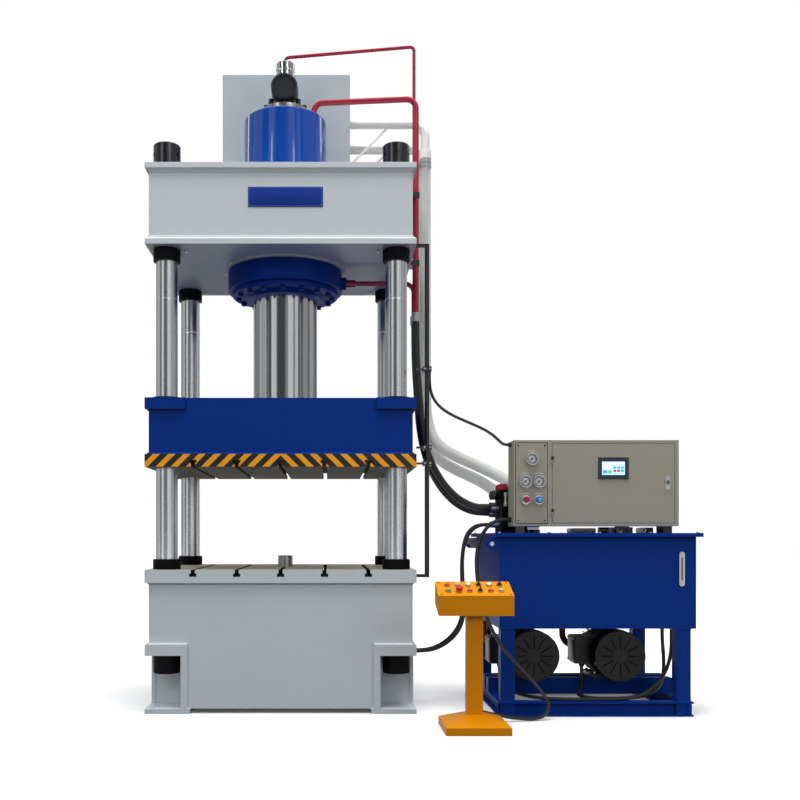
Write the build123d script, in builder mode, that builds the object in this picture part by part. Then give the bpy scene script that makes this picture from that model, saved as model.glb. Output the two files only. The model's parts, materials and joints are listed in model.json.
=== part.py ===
from build123d import *
import os
from math import atan2, cos, degrees, radians, sin, tan

os.makedirs("parts", exist_ok=True)

# Driving dimensions, in millimetres. The origin is on the floor, midway between the four columns.

# Fits and cuts
overrun = 10.0
clearance = 0.3
bore_fit = 0.1

# Press layout
frame_width = 1860.0
frame_depth = 1355.0
body_inset = 24.0
column_inset_x = 130.0
column_inset_y = 137.5
column_dia = 150.0
column_stub = 4.0
column_chamfer = 5.0

# Bed
table_height = 985.0
table_thickness = 90.0
ledge_top = 473.0
ledge_thickness = 76.0
ledge_width = 290.0
web_thickness = 39.0
foot_width = 310.0
foot_thickness = 33.0
anchor_hole_dia = 36.0
anchor_inset = 50.0

# T-slots in the table and under the slide
slot_pitch = 300.0
slot_count = 5
slot_width = 28.0
slot_throat = 26.0
slot_base_width = 50.0
slot_base_height = 22.0

# Nuts on the columns
nut_dia = 188.0
top_nut_height = 161.0
recess_nut_height = 133.0
split_nut_height = 90.0
table_nut_dia = 192.0
table_nut_height = 71.0
nut_chamfer = 6.0
spanner_hole_dia = 20.0
spanner_hole_depth = 12.0
spanner_hole_count = 6
spanner_height_share = 0.55

# Upper crosshead
open_height = 2229.0
crosshead_height = 560.0
crosshead_flange = 56.0
crosshead_chamfer = 18.0
seat_ring_dia = 900.0
seat_ring_height = 12.0

# Main cylinder, gland and plunger
barrel_dia = 617.0
barrel_rise = 560.0
barrel_cap = 100.0
barrel_chamfer = 8.0
bore_gap = 2.0
shoulder_dia = 856.0
shoulder_height = 152.0
plunger_dia = 480.0
plunger_rise = 76.0
gland_dia = 790.0
gland_plate = 34.0
gland_collar_dia = 570.0
gland_collar_height = 26.0
gland_bolt_count = 16
gland_bolt_circle_dia = 700.0
gland_bolt_head = 42.0
gland_bolt_height = 24.0
port_boss_dia = 92.0
port_boss_length = 34.0

# Prefill valve on the cylinder
valve_flange_dia = 347.0
valve_flange_height = 91.0
valve_screw_count = 8
valve_screw_circle_dia = 285.0
valve_screw_dia = 40.0
valve_screw_height = 46.0
drum_dia = 196.0
drum_rise = 200.0
drum_front = 190.0
drum_length = 150.0
drum_rim = 14.0
valve_neck_dia = 202.0
valve_neck_rise = 76.0
valve_cap_dia = 140.0
valve_cap_rise = 252.0
valve_cap_chamfer = 10.0

# Prefill tank and its two pipes
prefill_left = -514.0
prefill_right = 497.0
prefill_setback = 337.5
prefill_depth = 330.0
prefill_height = 1104.0
prefill_corner = 12.0
pipe_dia = 72.0
pipe_end_rise = 496.0
upper_pipe_rise = 782.0
upper_pipe_setback = 177.5
upper_pipe_reach = 180.0
lower_pipe_rise = 623.0
lower_pipe_setback = 65.5
lower_pipe_reach = 170.0
pipe_bend = 110.0
pipe_collar_dia = 96.0
pipe_collar_length = 60.0
brace_width = 22.0
brace_run = 325.0

# Red oil tubes
pressure_tube_dia = 42.0
pilot_tube_dia = 24.0
return_tube_dia = 36.0
tube_bend = 70.0
pilot_bend = 30.0
tube_drop = 338.0
fitting_length = 67.0
fitting_wall = 10.0
pressure_reach = 48.0
pressure_y = -122.0
pressure_start_x = 219.0
pressure_start_rise = 100.0
pressure_slope = 32.0
pilot_reach = 38.0
pilot_y = -62.0
pilot_rise = 50.0
pilot_slope = 50.0
return_reach = 42.0
return_y = 0.0
clamp_height = 40.0
clamp_margin = 24.0

# Slide
daylight = 705.0
slide_height = 475.0
slide_plate = 88.0
slide_pad_width = 275.0
slide_pad_height = 77.0
bush_dia = 196.0
wiper_dia = 214.0
wiper_height = 13.0

# Limit rod and switches
limit_reach = 85.0
limit_rod_dia = 32.0
limit_drop = 56.0
limit_rise = 40.0
limit_arm = 22.0
switch_rises = (16.0, 127.0, 672.0)
switch_block = 60.0
switch_block_height = 34.0
switch_arm_dia = 16.0
switch_arm_reach = 75.0

# Ejector in the bed
ejector_rod_dia = 110.0
ejector_rise = 85.0
ejector_chamfer = 5.0
ejector_body_dia = 260.0
ejector_bore = 180.0
ejector_length = 420.0
ejector_gland = 60.0
ejector_floor = 40.0
piston_height = 80.0
piston_drop = 195.0
bed_port_y = -230.0
bed_port_pitch = 64.0
bed_port_height = 380.0
bed_port_dia = 46.0
bed_port_length = 40.0

# Power unit stand
unit_left = 1470.0
unit_right = 2786.0
unit_front = -777.0
unit_back = 230.0
rail_height = 100.0
rail_flange = 78.0
rail_web = 10.0
rail_toe = 12.0
leg_width = 95.0
leg_inset = 18.0
leg_set_back = 7.0
beam_height = 102.0
beam_width = 90.0

# Oil tank and lid
tank_left = 1480.0
tank_right = 2804.0
tank_front = -770.0
tank_back = 230.0
tank_bottom = 592.0
tank_height = 618.0
lid_thickness = 27.0
lid_overhang = 36.0
ear_radius = 40.0
ear_thickness = 22.0
ear_reach = 53.0
ear_drop = 46.0
ear_inset = 60.0
ear_pin_dia = 30.0
ear_pin_length = 40.0
filler_dia = 120.0
filler_height = 34.0
filler_x = 2560.0
filler_y = 40.0
gauge_width = 38.0
gauge_height = 232.0
gauge_depth = 16.0
gauge_x = 2703.0
gauge_centre = 995.0
return_fitting_dia = 104.0
return_fitting_height = 30.0
return_left = (1745.0, 190.0)
return_right = (1900.0, 110.0)

# Motors and pumps
motor_xs = (1756.0, 2354.0)
motor_axis = 382.0
motor_front = -578.0
cowl_length = 120.0
cowl_dia = 350.0
cowl_wall = 3.0
cowl_slot_count = 12
cowl_slot_width = 10.0
cowl_slot_inner = 50.0
cowl_slot_outer = 140.0
frame_dia = 300.0
frame_length = 400.0
fin_dia = 346.0
fin_count = 32
fin_thickness = 5.0
foot_bar_height = 30.0
foot_bar_reach = 150.0
foot_bar_length = 250.0
shaft_dia = 48.0
fan_dia = 300.0
fan_width = 50.0
fan_hub_dia = 110.0
fan_blade_count = 7
fan_blade_thickness = 6.0
fan_gap = 20.0
bell_dia = 250.0
bell_length = 110.0
pump_dia = 190.0
pump_length = 150.0
pump_port_share = 0.22
pump_port_dia = 70.0
pump_port_length = 30.0
shaft_engagement = 60.0
box_width = 104.0
box_height = 193.0
box_length = 190.0
box_start_share = 0.05
box_drop_share = 0.37
suction_dia = 48.0
suction_offset = 237.0
suction_bend = 90.0

# Valve block on the lid
block_left = 1560.0
block_right = 1740.0
block_front = -430.0
block_back = -150.0
block_height = 250.0
spool_valve_dia = 62.0
spool_saddle = 50.0
spool_reach = 42.0
spool_valve_count = 3
spool_valve_step = 74.0
cartridge_dia = 110.0
cartridge_height = 86.0
pressure_fitting = (1508.0, -280.0, 1421.0)
return_fitting = (1508.0, -195.0, 1385.0)
pilot_fitting = (1508.0, -205.0, 1440.0)
ejector_fitting = (1500.0, -300.0, 1300.0)
ejector_fitting_pitch = 70.0

# Hoses and cables
pressure_hose_dia = 50.0
return_hose_dia = 40.0
pilot_hose_dia = 26.0
clear_hose_dia = 88.0
ejector_hose_dia = 26.0
sensor_cable_dia = 20.0
pedestal_cable_dia = 25.0
motor_cable_dia = 25.0
arc_share = 0.45
gland_wall = 6.0
gland_reach = 20.0
sensor_cable_end = (1575.0, -577.0, 1850.0)
pedestal_cable_start = (1575.0, -577.0, 1330.0)
pedestal_cable_end = (1250.0, -1104.0, 112.0)
motor_cable_starts = ((2700.0, -600.0), (2700.0, -420.0))
motor_cable_ends = ((1543.0, -419.0), (2129.0, -412.0))

# Control cabinet
cabinet_left = 1595.0
cabinet_right = 2722.0
cabinet_bottom = 1284.0
cabinet_top = 1872.0
cabinet_front = -677.0
cabinet_depth = 200.0
cabinet_wall = 3.0
cabinet_border = 20.0
left_border = 14.0
right_border = 27.0
mullion_width = 34.0
panel_width = 212.0
panel_thickness = 3.0
panel_lap = 12.0
support_width = 60.0
support_inset = 24.0
inner_plate_thickness = 4.0
inner_plate_margin = 40.0
inner_plate_stand = 25.0
gear_counts = (5, 6, 4)
gear_row_count = 3
gear_depth = 70.0
gear_height = 86.0
gear_width_share = 0.8
door_pan = 22.0
door_seam = 3.0
hinge_dia = 12.0
hinge_pin_dia = 6.0
hinge_length = 46.0
hinge_shares = (0.09, 0.75)
screen_width = 206.0
screen_height = 148.0
screen_proud = 8.0
screen_body_depth = 46.0
screen_glass_width = 157.0
screen_glass_height = 92.0
screen_recess = 2.0
screen_cut_share = 0.46
screen_x_share = 0.498
screen_z_share = 0.687
escutcheon_width = 37.0
escutcheon_height = 98.0
escutcheon_depth = 6.0
latch_core_dia = 24.0
latch_proud = 12.0
latch_wing = 30.0
latch_wing_thickness = 6.0
latch_inset = 48.0
latch_offset = 2.0
latch_cam_length = 62.0
latch_cam_width = 18.0
latch_cam_thickness = 5.0
latch_cam_gap = 2.0

# Pressure gauges and regulators on the gauge panel
dial_dia = 84.0
dial_depth = 30.0
dial_wall = 4.0
dial_floor = 6.0
dial_pin_dia = 6.0
dial_pin_height = 12.0
needle_hub_dia = 14.0
needle_thickness = 2.5
needle_length = 30.0
needle_tail = 11.0
needle_root = 5.0
needle_tip = 1.6
needle_lift = 3.0
needle_zero = 225.0
needle_names = ("needle_top", "needle_left", "needle_right")
dial_x_shares = (0.50, 0.29, 0.73)
dial_z_shares = (0.80, 0.52, 0.52)
knob_x_shares = (0.31, 0.73)
knob_z_share = 0.29
knob_dia = 46.0
knob_height = 34.0
knob_flute_count = 10
knob_flute_dia = 6.0
knob_base_dia = 62.0
knob_base_height = 12.0
knob_shaft_dia = 12.0
knob_shaft_length = 30.0
knob_names = ("pressure_knob", "return_knob")

# Push-button pedestal
pedestal_x = 1244.0
pedestal_y = -1180.0
pedestal_base = 402.0
pedestal_skirt = 48.0
pedestal_slope_height = 54.0
post_width = 98.0
post_margin = 10.0
desk_width = 470.0
desk_bottom = 721.0
desk_front_height = 125.0
desk_back_height = 204.0
desk_under_rise = 66.0
desk_depth = 190.0
desk_wall = 3.0
button_columns = 6
button_pitch_x = 66.0
button_row_shares = (0.30, 0.70)
bezel_dia = 38.0
bezel_bore = 29.0
bezel_height = 8.0
lamp_dia = 30.0
lamp_height = 16.0
button_dia = 28.0
button_proud = 7.0
button_stem_dia = 14.0
button_stem_length = 26.0
button_travel = 4.0
mushroom_dia = 42.0
mushroom_height = 18.0
selector_lever_width = 9.0
selector_lever_height = 15.0

# Values worked out from the driving dimensions
half_width = frame_width / 2
half_depth = frame_depth / 2
column_spacing_x = frame_width - 2 * column_inset_x
column_spacing_y = frame_depth - 2 * column_inset_y
body_half_x = half_width - body_inset
body_half_y = half_depth - body_inset
table_under = table_height - table_thickness
ledge_bottom = ledge_top - ledge_thickness
recess_width = ledge_width - web_thickness
crosshead_bottom = table_height + open_height
crosshead_top = crosshead_bottom + crosshead_height
column_bottom = ledge_bottom - recess_nut_height - column_stub
column_top = crosshead_top + top_nut_height + column_stub
column_radius = column_dia / 2
plunger_radius = plunger_dia / 2
barrel_radius = barrel_dia / 2
shoulder_radius = shoulder_dia / 2
shoulder_top = crosshead_bottom - seat_ring_height
shoulder_bottom = shoulder_top - shoulder_height
gland_bottom = shoulder_bottom - gland_plate
port_height = shoulder_bottom + shoulder_height / 2
barrel_top = crosshead_top + barrel_rise
plunger_top = crosshead_top + plunger_rise
drum_height = barrel_top + drum_rise
valve_cap_top = drum_height + valve_cap_rise
prefill_front = half_depth - prefill_setback
prefill_top = crosshead_top + prefill_height
pipe_end = crosshead_top + pipe_end_rise
upper_pipe_height = crosshead_top + upper_pipe_rise
lower_pipe_height = crosshead_top + lower_pipe_rise
upper_pipe_x = half_width + upper_pipe_reach
lower_pipe_x = half_width + lower_pipe_reach
upper_pipe_y = half_depth - upper_pipe_setback
lower_pipe_y = half_depth - lower_pipe_setback
brace_x = prefill_right + brace_run
tube_end = crosshead_bottom - tube_drop
pressure_x = half_width + pressure_reach
pilot_x = half_width + pilot_reach
return_x = half_width + return_reach
slide_bottom = table_height + daylight
slide_top = slide_bottom + slide_height
limit_x = half_width + limit_reach
limit_y = -column_spacing_y / 2
limit_bottom = table_height - limit_drop
limit_top = crosshead_bottom + limit_rise
switch_heights = [slide_bottom + rise for rise in switch_rises]


# Label a finished piece and write it to its own file
def save(piece, label):
    piece.part.label = label
    export_step(piece.part, f"parts/{label}.step")


# A plate or box between two planes on each axis
def block(x_span, y_span, z_span, mode=Mode.ADD):
    spans = (x_span, y_span, z_span)
    centre = tuple((low + high) / 2 for low, high in spans)
    with Locations(centre):
        Box(*(high - low for low, high in spans), mode=mode)


# A round bar from one point along a direction
def bar(start, direction, radius, length, mode=Mode.ADD):
    with BuildSketch(Plane(origin=start, z_dir=direction)) as end_face:
        Circle(radius)
    extrude(end_face.sketch, amount=length, mode=mode)


# A bent tube through the corner points, with one bend radius
def bent_tube(points, radius, bend):
    with BuildLine() as path:
        FilletPolyline(*points, radius=bend)
    with BuildSketch(Plane(origin=path.line @ 0, z_dir=path.line % 0)) as section:
        Circle(radius)
    sweep(section.sketch, path=path.line)


# The row of T-slots that opens at the height of a face and goes inwards, up or down
def cut_tee_slots(face, inward):
    throat_centre = face + inward * (slot_throat - overrun) / 2
    base_centre = face + inward * (slot_throat + slot_base_height / 2)
    with BuildSketch(Plane.XZ) as profile:
        with Locations((0, throat_centre)):
            with GridLocations(slot_pitch, slot_pitch, slot_count, 1):
                Rectangle(slot_width, slot_throat + overrun)
        with Locations((0, base_centre)):
            with GridLocations(slot_pitch, slot_pitch, slot_count, 1):
                Rectangle(slot_base_width, slot_base_height)
    extrude(profile.sketch, amount=half_depth + overrun, both=True, mode=Mode.SUBTRACT)


# Bed: welded box with four corner recesses for the lower nuts, and the slotted table plate
with BuildPart() as bed:
    block((-body_half_x, body_half_x), (-body_half_y, body_half_y), (foot_thickness, table_under))
    block((-half_width, half_width), (-half_depth, half_depth), (table_under, table_height))
    with BuildSketch(Plane.XY.offset(foot_thickness)):
        with GridLocations(frame_width - ledge_width, frame_depth - ledge_width, 2, 2):
            Rectangle(ledge_width, ledge_width)
    extrude(amount=ledge_top - foot_thickness)
    with BuildSketch(Plane.XY.offset(foot_thickness)):
        with GridLocations(frame_width - recess_width + overrun, frame_depth - recess_width + overrun, 2, 2):
            Rectangle(recess_width + overrun, recess_width + overrun)
    extrude(amount=ledge_bottom - foot_thickness, mode=Mode.SUBTRACT)
    with BuildSketch():
        with GridLocations(frame_width - foot_width, frame_depth - foot_width, 2, 2):
            Rectangle(foot_width, foot_width)
        with GridLocations(frame_width - 2 * anchor_inset, frame_depth - 2 * anchor_inset, 2, 2):
            Circle(anchor_hole_dia / 2, mode=Mode.SUBTRACT)
    extrude(amount=foot_thickness)
    with BuildSketch(Plane.XY.offset(ledge_bottom - overrun)):
        with GridLocations(column_spacing_x, column_spacing_y, 2, 2):
            Circle(column_radius + bore_fit)
    extrude(amount=table_height - ledge_bottom + 2 * overrun, mode=Mode.SUBTRACT)
    with BuildSketch(Plane.XY.offset(foot_thickness - overrun)):
        Circle(ejector_body_dia / 2 + bore_fit)
    extrude(amount=table_under - foot_thickness + overrun, mode=Mode.SUBTRACT)
    with BuildSketch(Plane.XY.offset(table_under - overrun)):
        Circle(ejector_rod_dia / 2 + clearance)
    extrude(amount=table_thickness + 2 * overrun, mode=Mode.SUBTRACT)
    cut_tee_slots(table_height, -1)
save(bed, "bed")

# Columns: four hard-chromed bars through the bed, the slide and the crosshead
with BuildPart() as columns:
    with BuildSketch(Plane.XY.offset(column_bottom)):
        with GridLocations(column_spacing_x, column_spacing_y, 2, 2):
            Circle(column_radius)
    extrude(amount=column_top - column_bottom)
    chamfer(columns.edges().filter_by(GeomType.CIRCLE), column_chamfer)
save(columns, "columns")


# Four rings round the columns, standing at one height
def column_rings(bottom, height, outer_dia, inner_radius):
    with BuildSketch(Plane.XY.offset(bottom)) as rings:
        with GridLocations(column_spacing_x, column_spacing_y, 2, 2):
            Circle(outer_dia / 2)
            Circle(inner_radius, mode=Mode.SUBTRACT)
    extrude(rings.sketch, amount=height)


# Column nuts: tall nuts on the crosshead with spanner holes, and nuts hanging in the bed's recesses
with BuildPart() as column_nuts:
    column_rings(crosshead_top, top_nut_height, nut_dia, column_radius + bore_fit)
    column_rings(ledge_bottom - recess_nut_height, recess_nut_height, nut_dia, column_radius + bore_fit)
    nut_rims = column_nuts.edges().filter_by(GeomType.CIRCLE)
    chamfer(nut_rims.filter_by(lambda rim: rim.radius > column_dia / 2 + nut_chamfer), nut_chamfer)
    spanner_height = crosshead_top + spanner_height_share * top_nut_height
    for column_x in (-column_spacing_x / 2, column_spacing_x / 2):
        for column_y in (-column_spacing_y / 2, column_spacing_y / 2):
            for index in range(spanner_hole_count):
                angle = radians(360 * (index + 0.5) / spanner_hole_count)
                outwards = (cos(angle), sin(angle), 0)
                rim_x = column_x + outwards[0] * (nut_dia / 2 - spanner_hole_depth)
                rim_y = column_y + outwards[1] * (nut_dia / 2 - spanner_hole_depth)
                mouth = spanner_hole_depth + overrun
                bar((rim_x, rim_y, spanner_height), outwards, spanner_hole_dia / 2, mouth, Mode.SUBTRACT)
save(column_nuts, "column_nuts")

# Adjusting nuts: split nuts under the crosshead and flat nuts on the table
with BuildPart() as adjusting_nuts:
    column_rings(crosshead_bottom - split_nut_height, split_nut_height, nut_dia, column_radius + bore_fit)
    column_rings(table_height, table_nut_height, table_nut_dia, column_radius + bore_fit)
    nut_rims = adjusting_nuts.edges().filter_by(GeomType.CIRCLE)
    chamfer(nut_rims.filter_by(lambda rim: rim.radius > column_dia / 2 + nut_chamfer), nut_chamfer)
save(adjusting_nuts, "adjusting_nuts")


# Whether an edge lies on the outer rim of a flange and not where the box meets it
def on_flange_rim(edge):
    middle = edge.center()
    reach = max(abs(middle.X) - half_width, abs(middle.Y) - half_depth)
    return reach > -body_inset / 2


# Upper crosshead: welded box between two flanges, with a machined seat ring for the cylinder
with BuildPart() as upper_crosshead:
    block((-body_half_x, body_half_x), (-body_half_y, body_half_y), (crosshead_bottom, crosshead_top))
    for flange_bottom in (crosshead_bottom, crosshead_top - crosshead_flange):
        flange_span = (flange_bottom, flange_bottom + crosshead_flange)
        block((-half_width, half_width), (-half_depth, half_depth), flange_span)
    for inner_level in (crosshead_bottom + crosshead_flange, crosshead_top - crosshead_flange):
        level_edges = upper_crosshead.edges().filter_by_position(Axis.Z, inner_level, inner_level)
        chamfer(level_edges.filter_by(on_flange_rim), crosshead_chamfer)
    with BuildSketch(Plane.XY.offset(shoulder_top)):
        Circle(seat_ring_dia / 2)
    extrude(amount=seat_ring_height)
    with BuildSketch(Plane.XY.offset(shoulder_top - overrun)):
        Circle(barrel_radius + bore_fit)
        with GridLocations(column_spacing_x, column_spacing_y, 2, 2):
            Circle(column_radius + bore_fit)
    extrude(amount=crosshead_height + seat_ring_height + 2 * overrun, mode=Mode.SUBTRACT)
save(upper_crosshead, "upper_crosshead")

# Main cylinder: one forging, a barrel with a shoulder that bears on the crosshead from below
with BuildPart() as main_cylinder:
    with BuildSketch(Plane.XZ):
        with BuildLine():
            Polyline(
                (plunger_radius + bore_gap, shoulder_bottom),
                (shoulder_radius, shoulder_bottom),
                (shoulder_radius, shoulder_top),
                (barrel_radius, shoulder_top),
                (barrel_radius, barrel_top - barrel_chamfer),
                (barrel_radius - barrel_chamfer, barrel_top),
                (0, barrel_top),
                (0, barrel_top - barrel_cap),
                (plunger_radius + bore_gap, barrel_top - barrel_cap),
                close=True,
            )
        make_face()
    revolve(axis=Axis.Z)
    port_root = (shoulder_radius - port_boss_length, return_y, port_height)
    bar(port_root, (1, 0, 0), port_boss_dia / 2, 2 * port_boss_length)
save(main_cylinder, "main_cylinder")

# Gland ring: bolted under the shoulder, guides the plunger
with BuildPart() as gland_ring:
    with BuildSketch(Plane.XZ):
        with BuildLine():
            Polyline(
                (plunger_radius + clearance, shoulder_bottom),
                (gland_dia / 2, shoulder_bottom),
                (gland_dia / 2, gland_bottom),
                (gland_collar_dia / 2 + gland_collar_height, gland_bottom),
                (gland_collar_dia / 2, gland_bottom - gland_collar_height),
                (plunger_radius + clearance, gland_bottom - gland_collar_height),
                close=True,
            )
        make_face()
    revolve(axis=Axis.Z)
save(gland_ring, "gland_ring")

# Gland bolts: hexagon heads seated on the gland ring
with BuildPart() as gland_bolts:
    with BuildSketch(Plane.XY.offset(gland_bottom)):
        with PolarLocations(gland_bolt_circle_dia / 2, gland_bolt_count):
            RegularPolygon(gland_bolt_head / 2, 6)
    extrude(amount=-gland_bolt_height)
save(gland_bolts, "gland_bolts")

# Prefill valve: flange with its screws, drum across the axis and a cap for the pilot line
with BuildPart() as prefill_valve:
    flange_top = barrel_top + valve_flange_height
    with BuildSketch(Plane.XY.offset(barrel_top)):
        Circle(valve_flange_dia / 2)
    extrude(amount=valve_flange_height)
    with BuildSketch(Plane.XY.offset(flange_top)):
        Circle(valve_neck_dia / 2)
    extrude(amount=drum_height + valve_neck_rise - flange_top)
    with BuildSketch(Plane.XY.offset(flange_top)):
        with PolarLocations(valve_screw_circle_dia / 2, valve_screw_count):
            Circle(valve_screw_dia / 2)
    extrude(amount=valve_screw_height)
    with BuildSketch(Plane.XY.offset(drum_height)):
        Circle(valve_cap_dia / 2)
    extrude(amount=valve_cap_top - drum_height)
    cap_rim = prefill_valve.edges().filter_by(GeomType.CIRCLE).sort_by(Axis.Z)[-1]
    chamfer(cap_rim, valve_cap_chamfer)
    bar((0, -drum_front, drum_height), (0, 1, 0), drum_dia / 2, drum_length)
    bar((0, -drum_front, drum_height), (0, 1, 0), drum_dia / 2 - drum_rim, drum_rim, Mode.SUBTRACT)
save(prefill_valve, "prefill_valve")

# Prefill tank: closed sheet box standing on the crosshead behind the cylinder
with BuildPart() as prefill_tank:
    prefill_back = prefill_front + prefill_depth
    block((prefill_left, prefill_right), (prefill_front, prefill_back), (crosshead_top, prefill_top))
    fillet(prefill_tank.edges().filter_by(Axis.Z), prefill_corner)
save(prefill_tank, "prefill_tank")

# Overflow pipes: two bent pipes from the tank's side with hose collars, held by flat-bar braces
with BuildPart() as overflow_pipes:
    for pipe_x, pipe_y, pipe_z in (
        (upper_pipe_x, upper_pipe_y, upper_pipe_height),
        (lower_pipe_x, lower_pipe_y, lower_pipe_height),
    ):
        pipe_corners = ((prefill_right, pipe_y, pipe_z), (pipe_x, pipe_y, pipe_z), (pipe_x, pipe_y, pipe_end))
        bent_tube(pipe_corners, pipe_dia / 2, pipe_bend)
        bar((pipe_x, pipe_y, pipe_end), (0, 0, 1), pipe_collar_dia / 2, pipe_collar_length)
        with BuildSketch(Plane.XZ.offset(-pipe_y)):
            with BuildLine():
                Polyline(
                    (brace_x, pipe_z),
                    (brace_x + brace_width, pipe_z),
                    (prefill_right, pipe_z - brace_run - brace_width),
                    (prefill_right, pipe_z - brace_run),
                    close=True,
                )
            make_face()
        extrude(amount=brace_width / 4, both=True)
save(overflow_pipes, "overflow_pipes")


# The swaged fitting at the lower end of a tube, where its hose begins
def tube_fitting(x, y, tube_dia):
    bar((x, y, tube_end - fitting_length), (0, 0, 1), tube_dia / 2 + fitting_wall, fitting_length)


# Oil tubes: pressure line from the cylinder's top, pilot line from the valve cap, return line from the shoulder
with BuildPart() as oil_tubes:
    pressure_run = barrel_top + pressure_start_rise
    pressure_corners = (
        (pressure_start_x, pressure_y, barrel_top),
        (pressure_start_x, pressure_y, pressure_run),
        (pressure_x, pressure_y, pressure_run + pressure_slope),
        (pressure_x, pressure_y, tube_end),
    )
    bent_tube(pressure_corners, pressure_tube_dia / 2, tube_bend)
    tube_fitting(pressure_x, pressure_y, pressure_tube_dia)
    pilot_run = valve_cap_top + pilot_rise
    pilot_corners = (
        (0, 0, valve_cap_top),
        (0, 0, pilot_run),
        (pilot_x, pilot_y, pilot_run + pilot_slope),
        (pilot_x, pilot_y, tube_end),
    )
    bent_tube(pilot_corners, pilot_tube_dia / 2, pilot_bend)
    tube_fitting(pilot_x, pilot_y, pilot_tube_dia)
    port_face = shoulder_radius + port_boss_length
    return_corners = (
        (port_face, return_y, port_height),
        (return_x, return_y, port_height),
        (return_x, return_y, tube_end),
    )
    bent_tube(return_corners, return_tube_dia / 2, tube_bend)
    bar((port_face, return_y, port_height), (1, 0, 0), return_tube_dia / 2 + fitting_wall, fitting_length)
    tube_fitting(return_x, return_y, return_tube_dia)
save(oil_tubes, "oil_tubes")

# Tube clamps: split blocks on the edges of the crosshead's flanges
with BuildPart() as tube_clamps:
    for clamp_centre in (crosshead_bottom + crosshead_flange / 2, crosshead_top - crosshead_flange / 2):
        clamp_bottom = clamp_centre - clamp_height / 2
        clamp_x = (half_width, pressure_x + clamp_margin)
        clamp_y = (pressure_y - clamp_margin, pilot_y + clamp_margin)
        block(clamp_x, clamp_y, (clamp_bottom, clamp_bottom + clamp_height))
        for tube_x, tube_y, tube_dia in (
            (pressure_x, pressure_y, pressure_tube_dia),
            (pilot_x, pilot_y, pilot_tube_dia),
        ):
            hole_start = (tube_x, tube_y, clamp_bottom - overrun)
            hole_length = clamp_height + 2 * overrun
            bar(hole_start, (0, 0, 1), tube_dia / 2 + bore_fit, hole_length, Mode.SUBTRACT)
save(tube_clamps, "tube_clamps")

# Slide: welded body with corner pads and a slotted lower plate
with BuildPart() as slide:
    block((-body_half_x, body_half_x), (-body_half_y, body_half_y), (slide_bottom, slide_top))
    block((-half_width, half_width), (-half_depth, half_depth), (slide_bottom, slide_bottom + slide_plate))
    with BuildSketch(Plane.XY.offset(slide_top)):
        with GridLocations(frame_width - slide_pad_width, frame_depth - slide_pad_width, 2, 2):
            Rectangle(slide_pad_width, slide_pad_width)
    extrude(amount=-slide_pad_height)
    with BuildSketch(Plane.XY.offset(slide_bottom - overrun)):
        with GridLocations(column_spacing_x, column_spacing_y, 2, 2):
            Circle(bush_dia / 2 + bore_fit)
    extrude(amount=slide_height + 2 * overrun, mode=Mode.SUBTRACT)
    cut_tee_slots(slide_bottom, 1)
save(slide, "slide")

# Slide bushes: guide sleeves in the slide, each with a wiper ring on top
with BuildPart() as slide_bushes:
    column_rings(slide_bottom, slide_height, bush_dia, column_radius + clearance)
    column_rings(slide_top, wiper_height, wiper_dia, column_radius + clearance)
save(slide_bushes, "slide_bushes")

# Plunger: polished ram that carries the slide
with BuildPart() as plunger:
    with BuildSketch(Plane.XY.offset(slide_top)):
        Circle(plunger_radius)
    extrude(amount=plunger_top - slide_top)
    chamfer(plunger.edges().filter_by(GeomType.CIRCLE).sort_by(Axis.Z)[-1], barrel_chamfer)
save(plunger, "plunger")

# Limit rod: round bar with an arm to the table and an arm to the crosshead
with BuildPart() as limit_rod:
    limit_length = limit_top - limit_bottom
    bar((limit_x, limit_y, limit_bottom), (0, 0, 1), limit_rod_dia / 2, limit_length)
    for arm_bottom in (limit_bottom, limit_top - limit_arm):
        arm_y = (limit_y - limit_arm / 2, limit_y + limit_arm / 2)
        block((half_width, limit_x), arm_y, (arm_bottom, arm_bottom + limit_arm))
save(limit_rod, "limit_rod")

# Limit switches: clamped on the rod, each with a feeler arm towards the slide
with BuildPart() as limit_switches:
    for switch_height in switch_heights:
        switch_x = (limit_x - switch_block / 2, limit_x + switch_block / 2)
        switch_y = (limit_y - switch_block / 2, limit_y + switch_block / 2)
        block(switch_x, switch_y, (switch_height, switch_height + switch_block_height))
        arm_start = (limit_x, limit_y, switch_height + switch_block_height / 2)
        bar(arm_start, (-1, 0, 0), switch_arm_dia / 2, switch_arm_reach)
    rod_start = (limit_x, limit_y, limit_bottom)
    bar(rod_start, (0, 0, 1), limit_rod_dia / 2 + bore_fit, limit_length, Mode.SUBTRACT)
save(limit_switches, "limit_switches")

# Ejector cylinder: hangs under the table plate, with its two hose unions on the bed's side
with BuildPart() as ejector_cylinder:
    ejector_bottom = table_under - ejector_length
    with BuildSketch(Plane.XZ):
        with BuildLine():
            Polyline(
                (0, ejector_bottom),
                (ejector_body_dia / 2, ejector_bottom),
                (ejector_body_dia / 2, table_under),
                (ejector_rod_dia / 2 + clearance, table_under),
                (ejector_rod_dia / 2 + clearance, table_under - ejector_gland),
                (ejector_bore / 2, table_under - ejector_gland),
                (ejector_bore / 2, ejector_bottom + ejector_floor),
                (0, ejector_bottom + ejector_floor),
                close=True,
            )
        make_face()
    revolve(axis=Axis.Z)
    for port_side in (-1, 1):
        union_y = bed_port_y + port_side * bed_port_pitch / 2
        bar((body_half_x, union_y, bed_port_height), (1, 0, 0), bed_port_dia / 2, bed_port_length)
save(ejector_cylinder, "ejector_cylinder")

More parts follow.
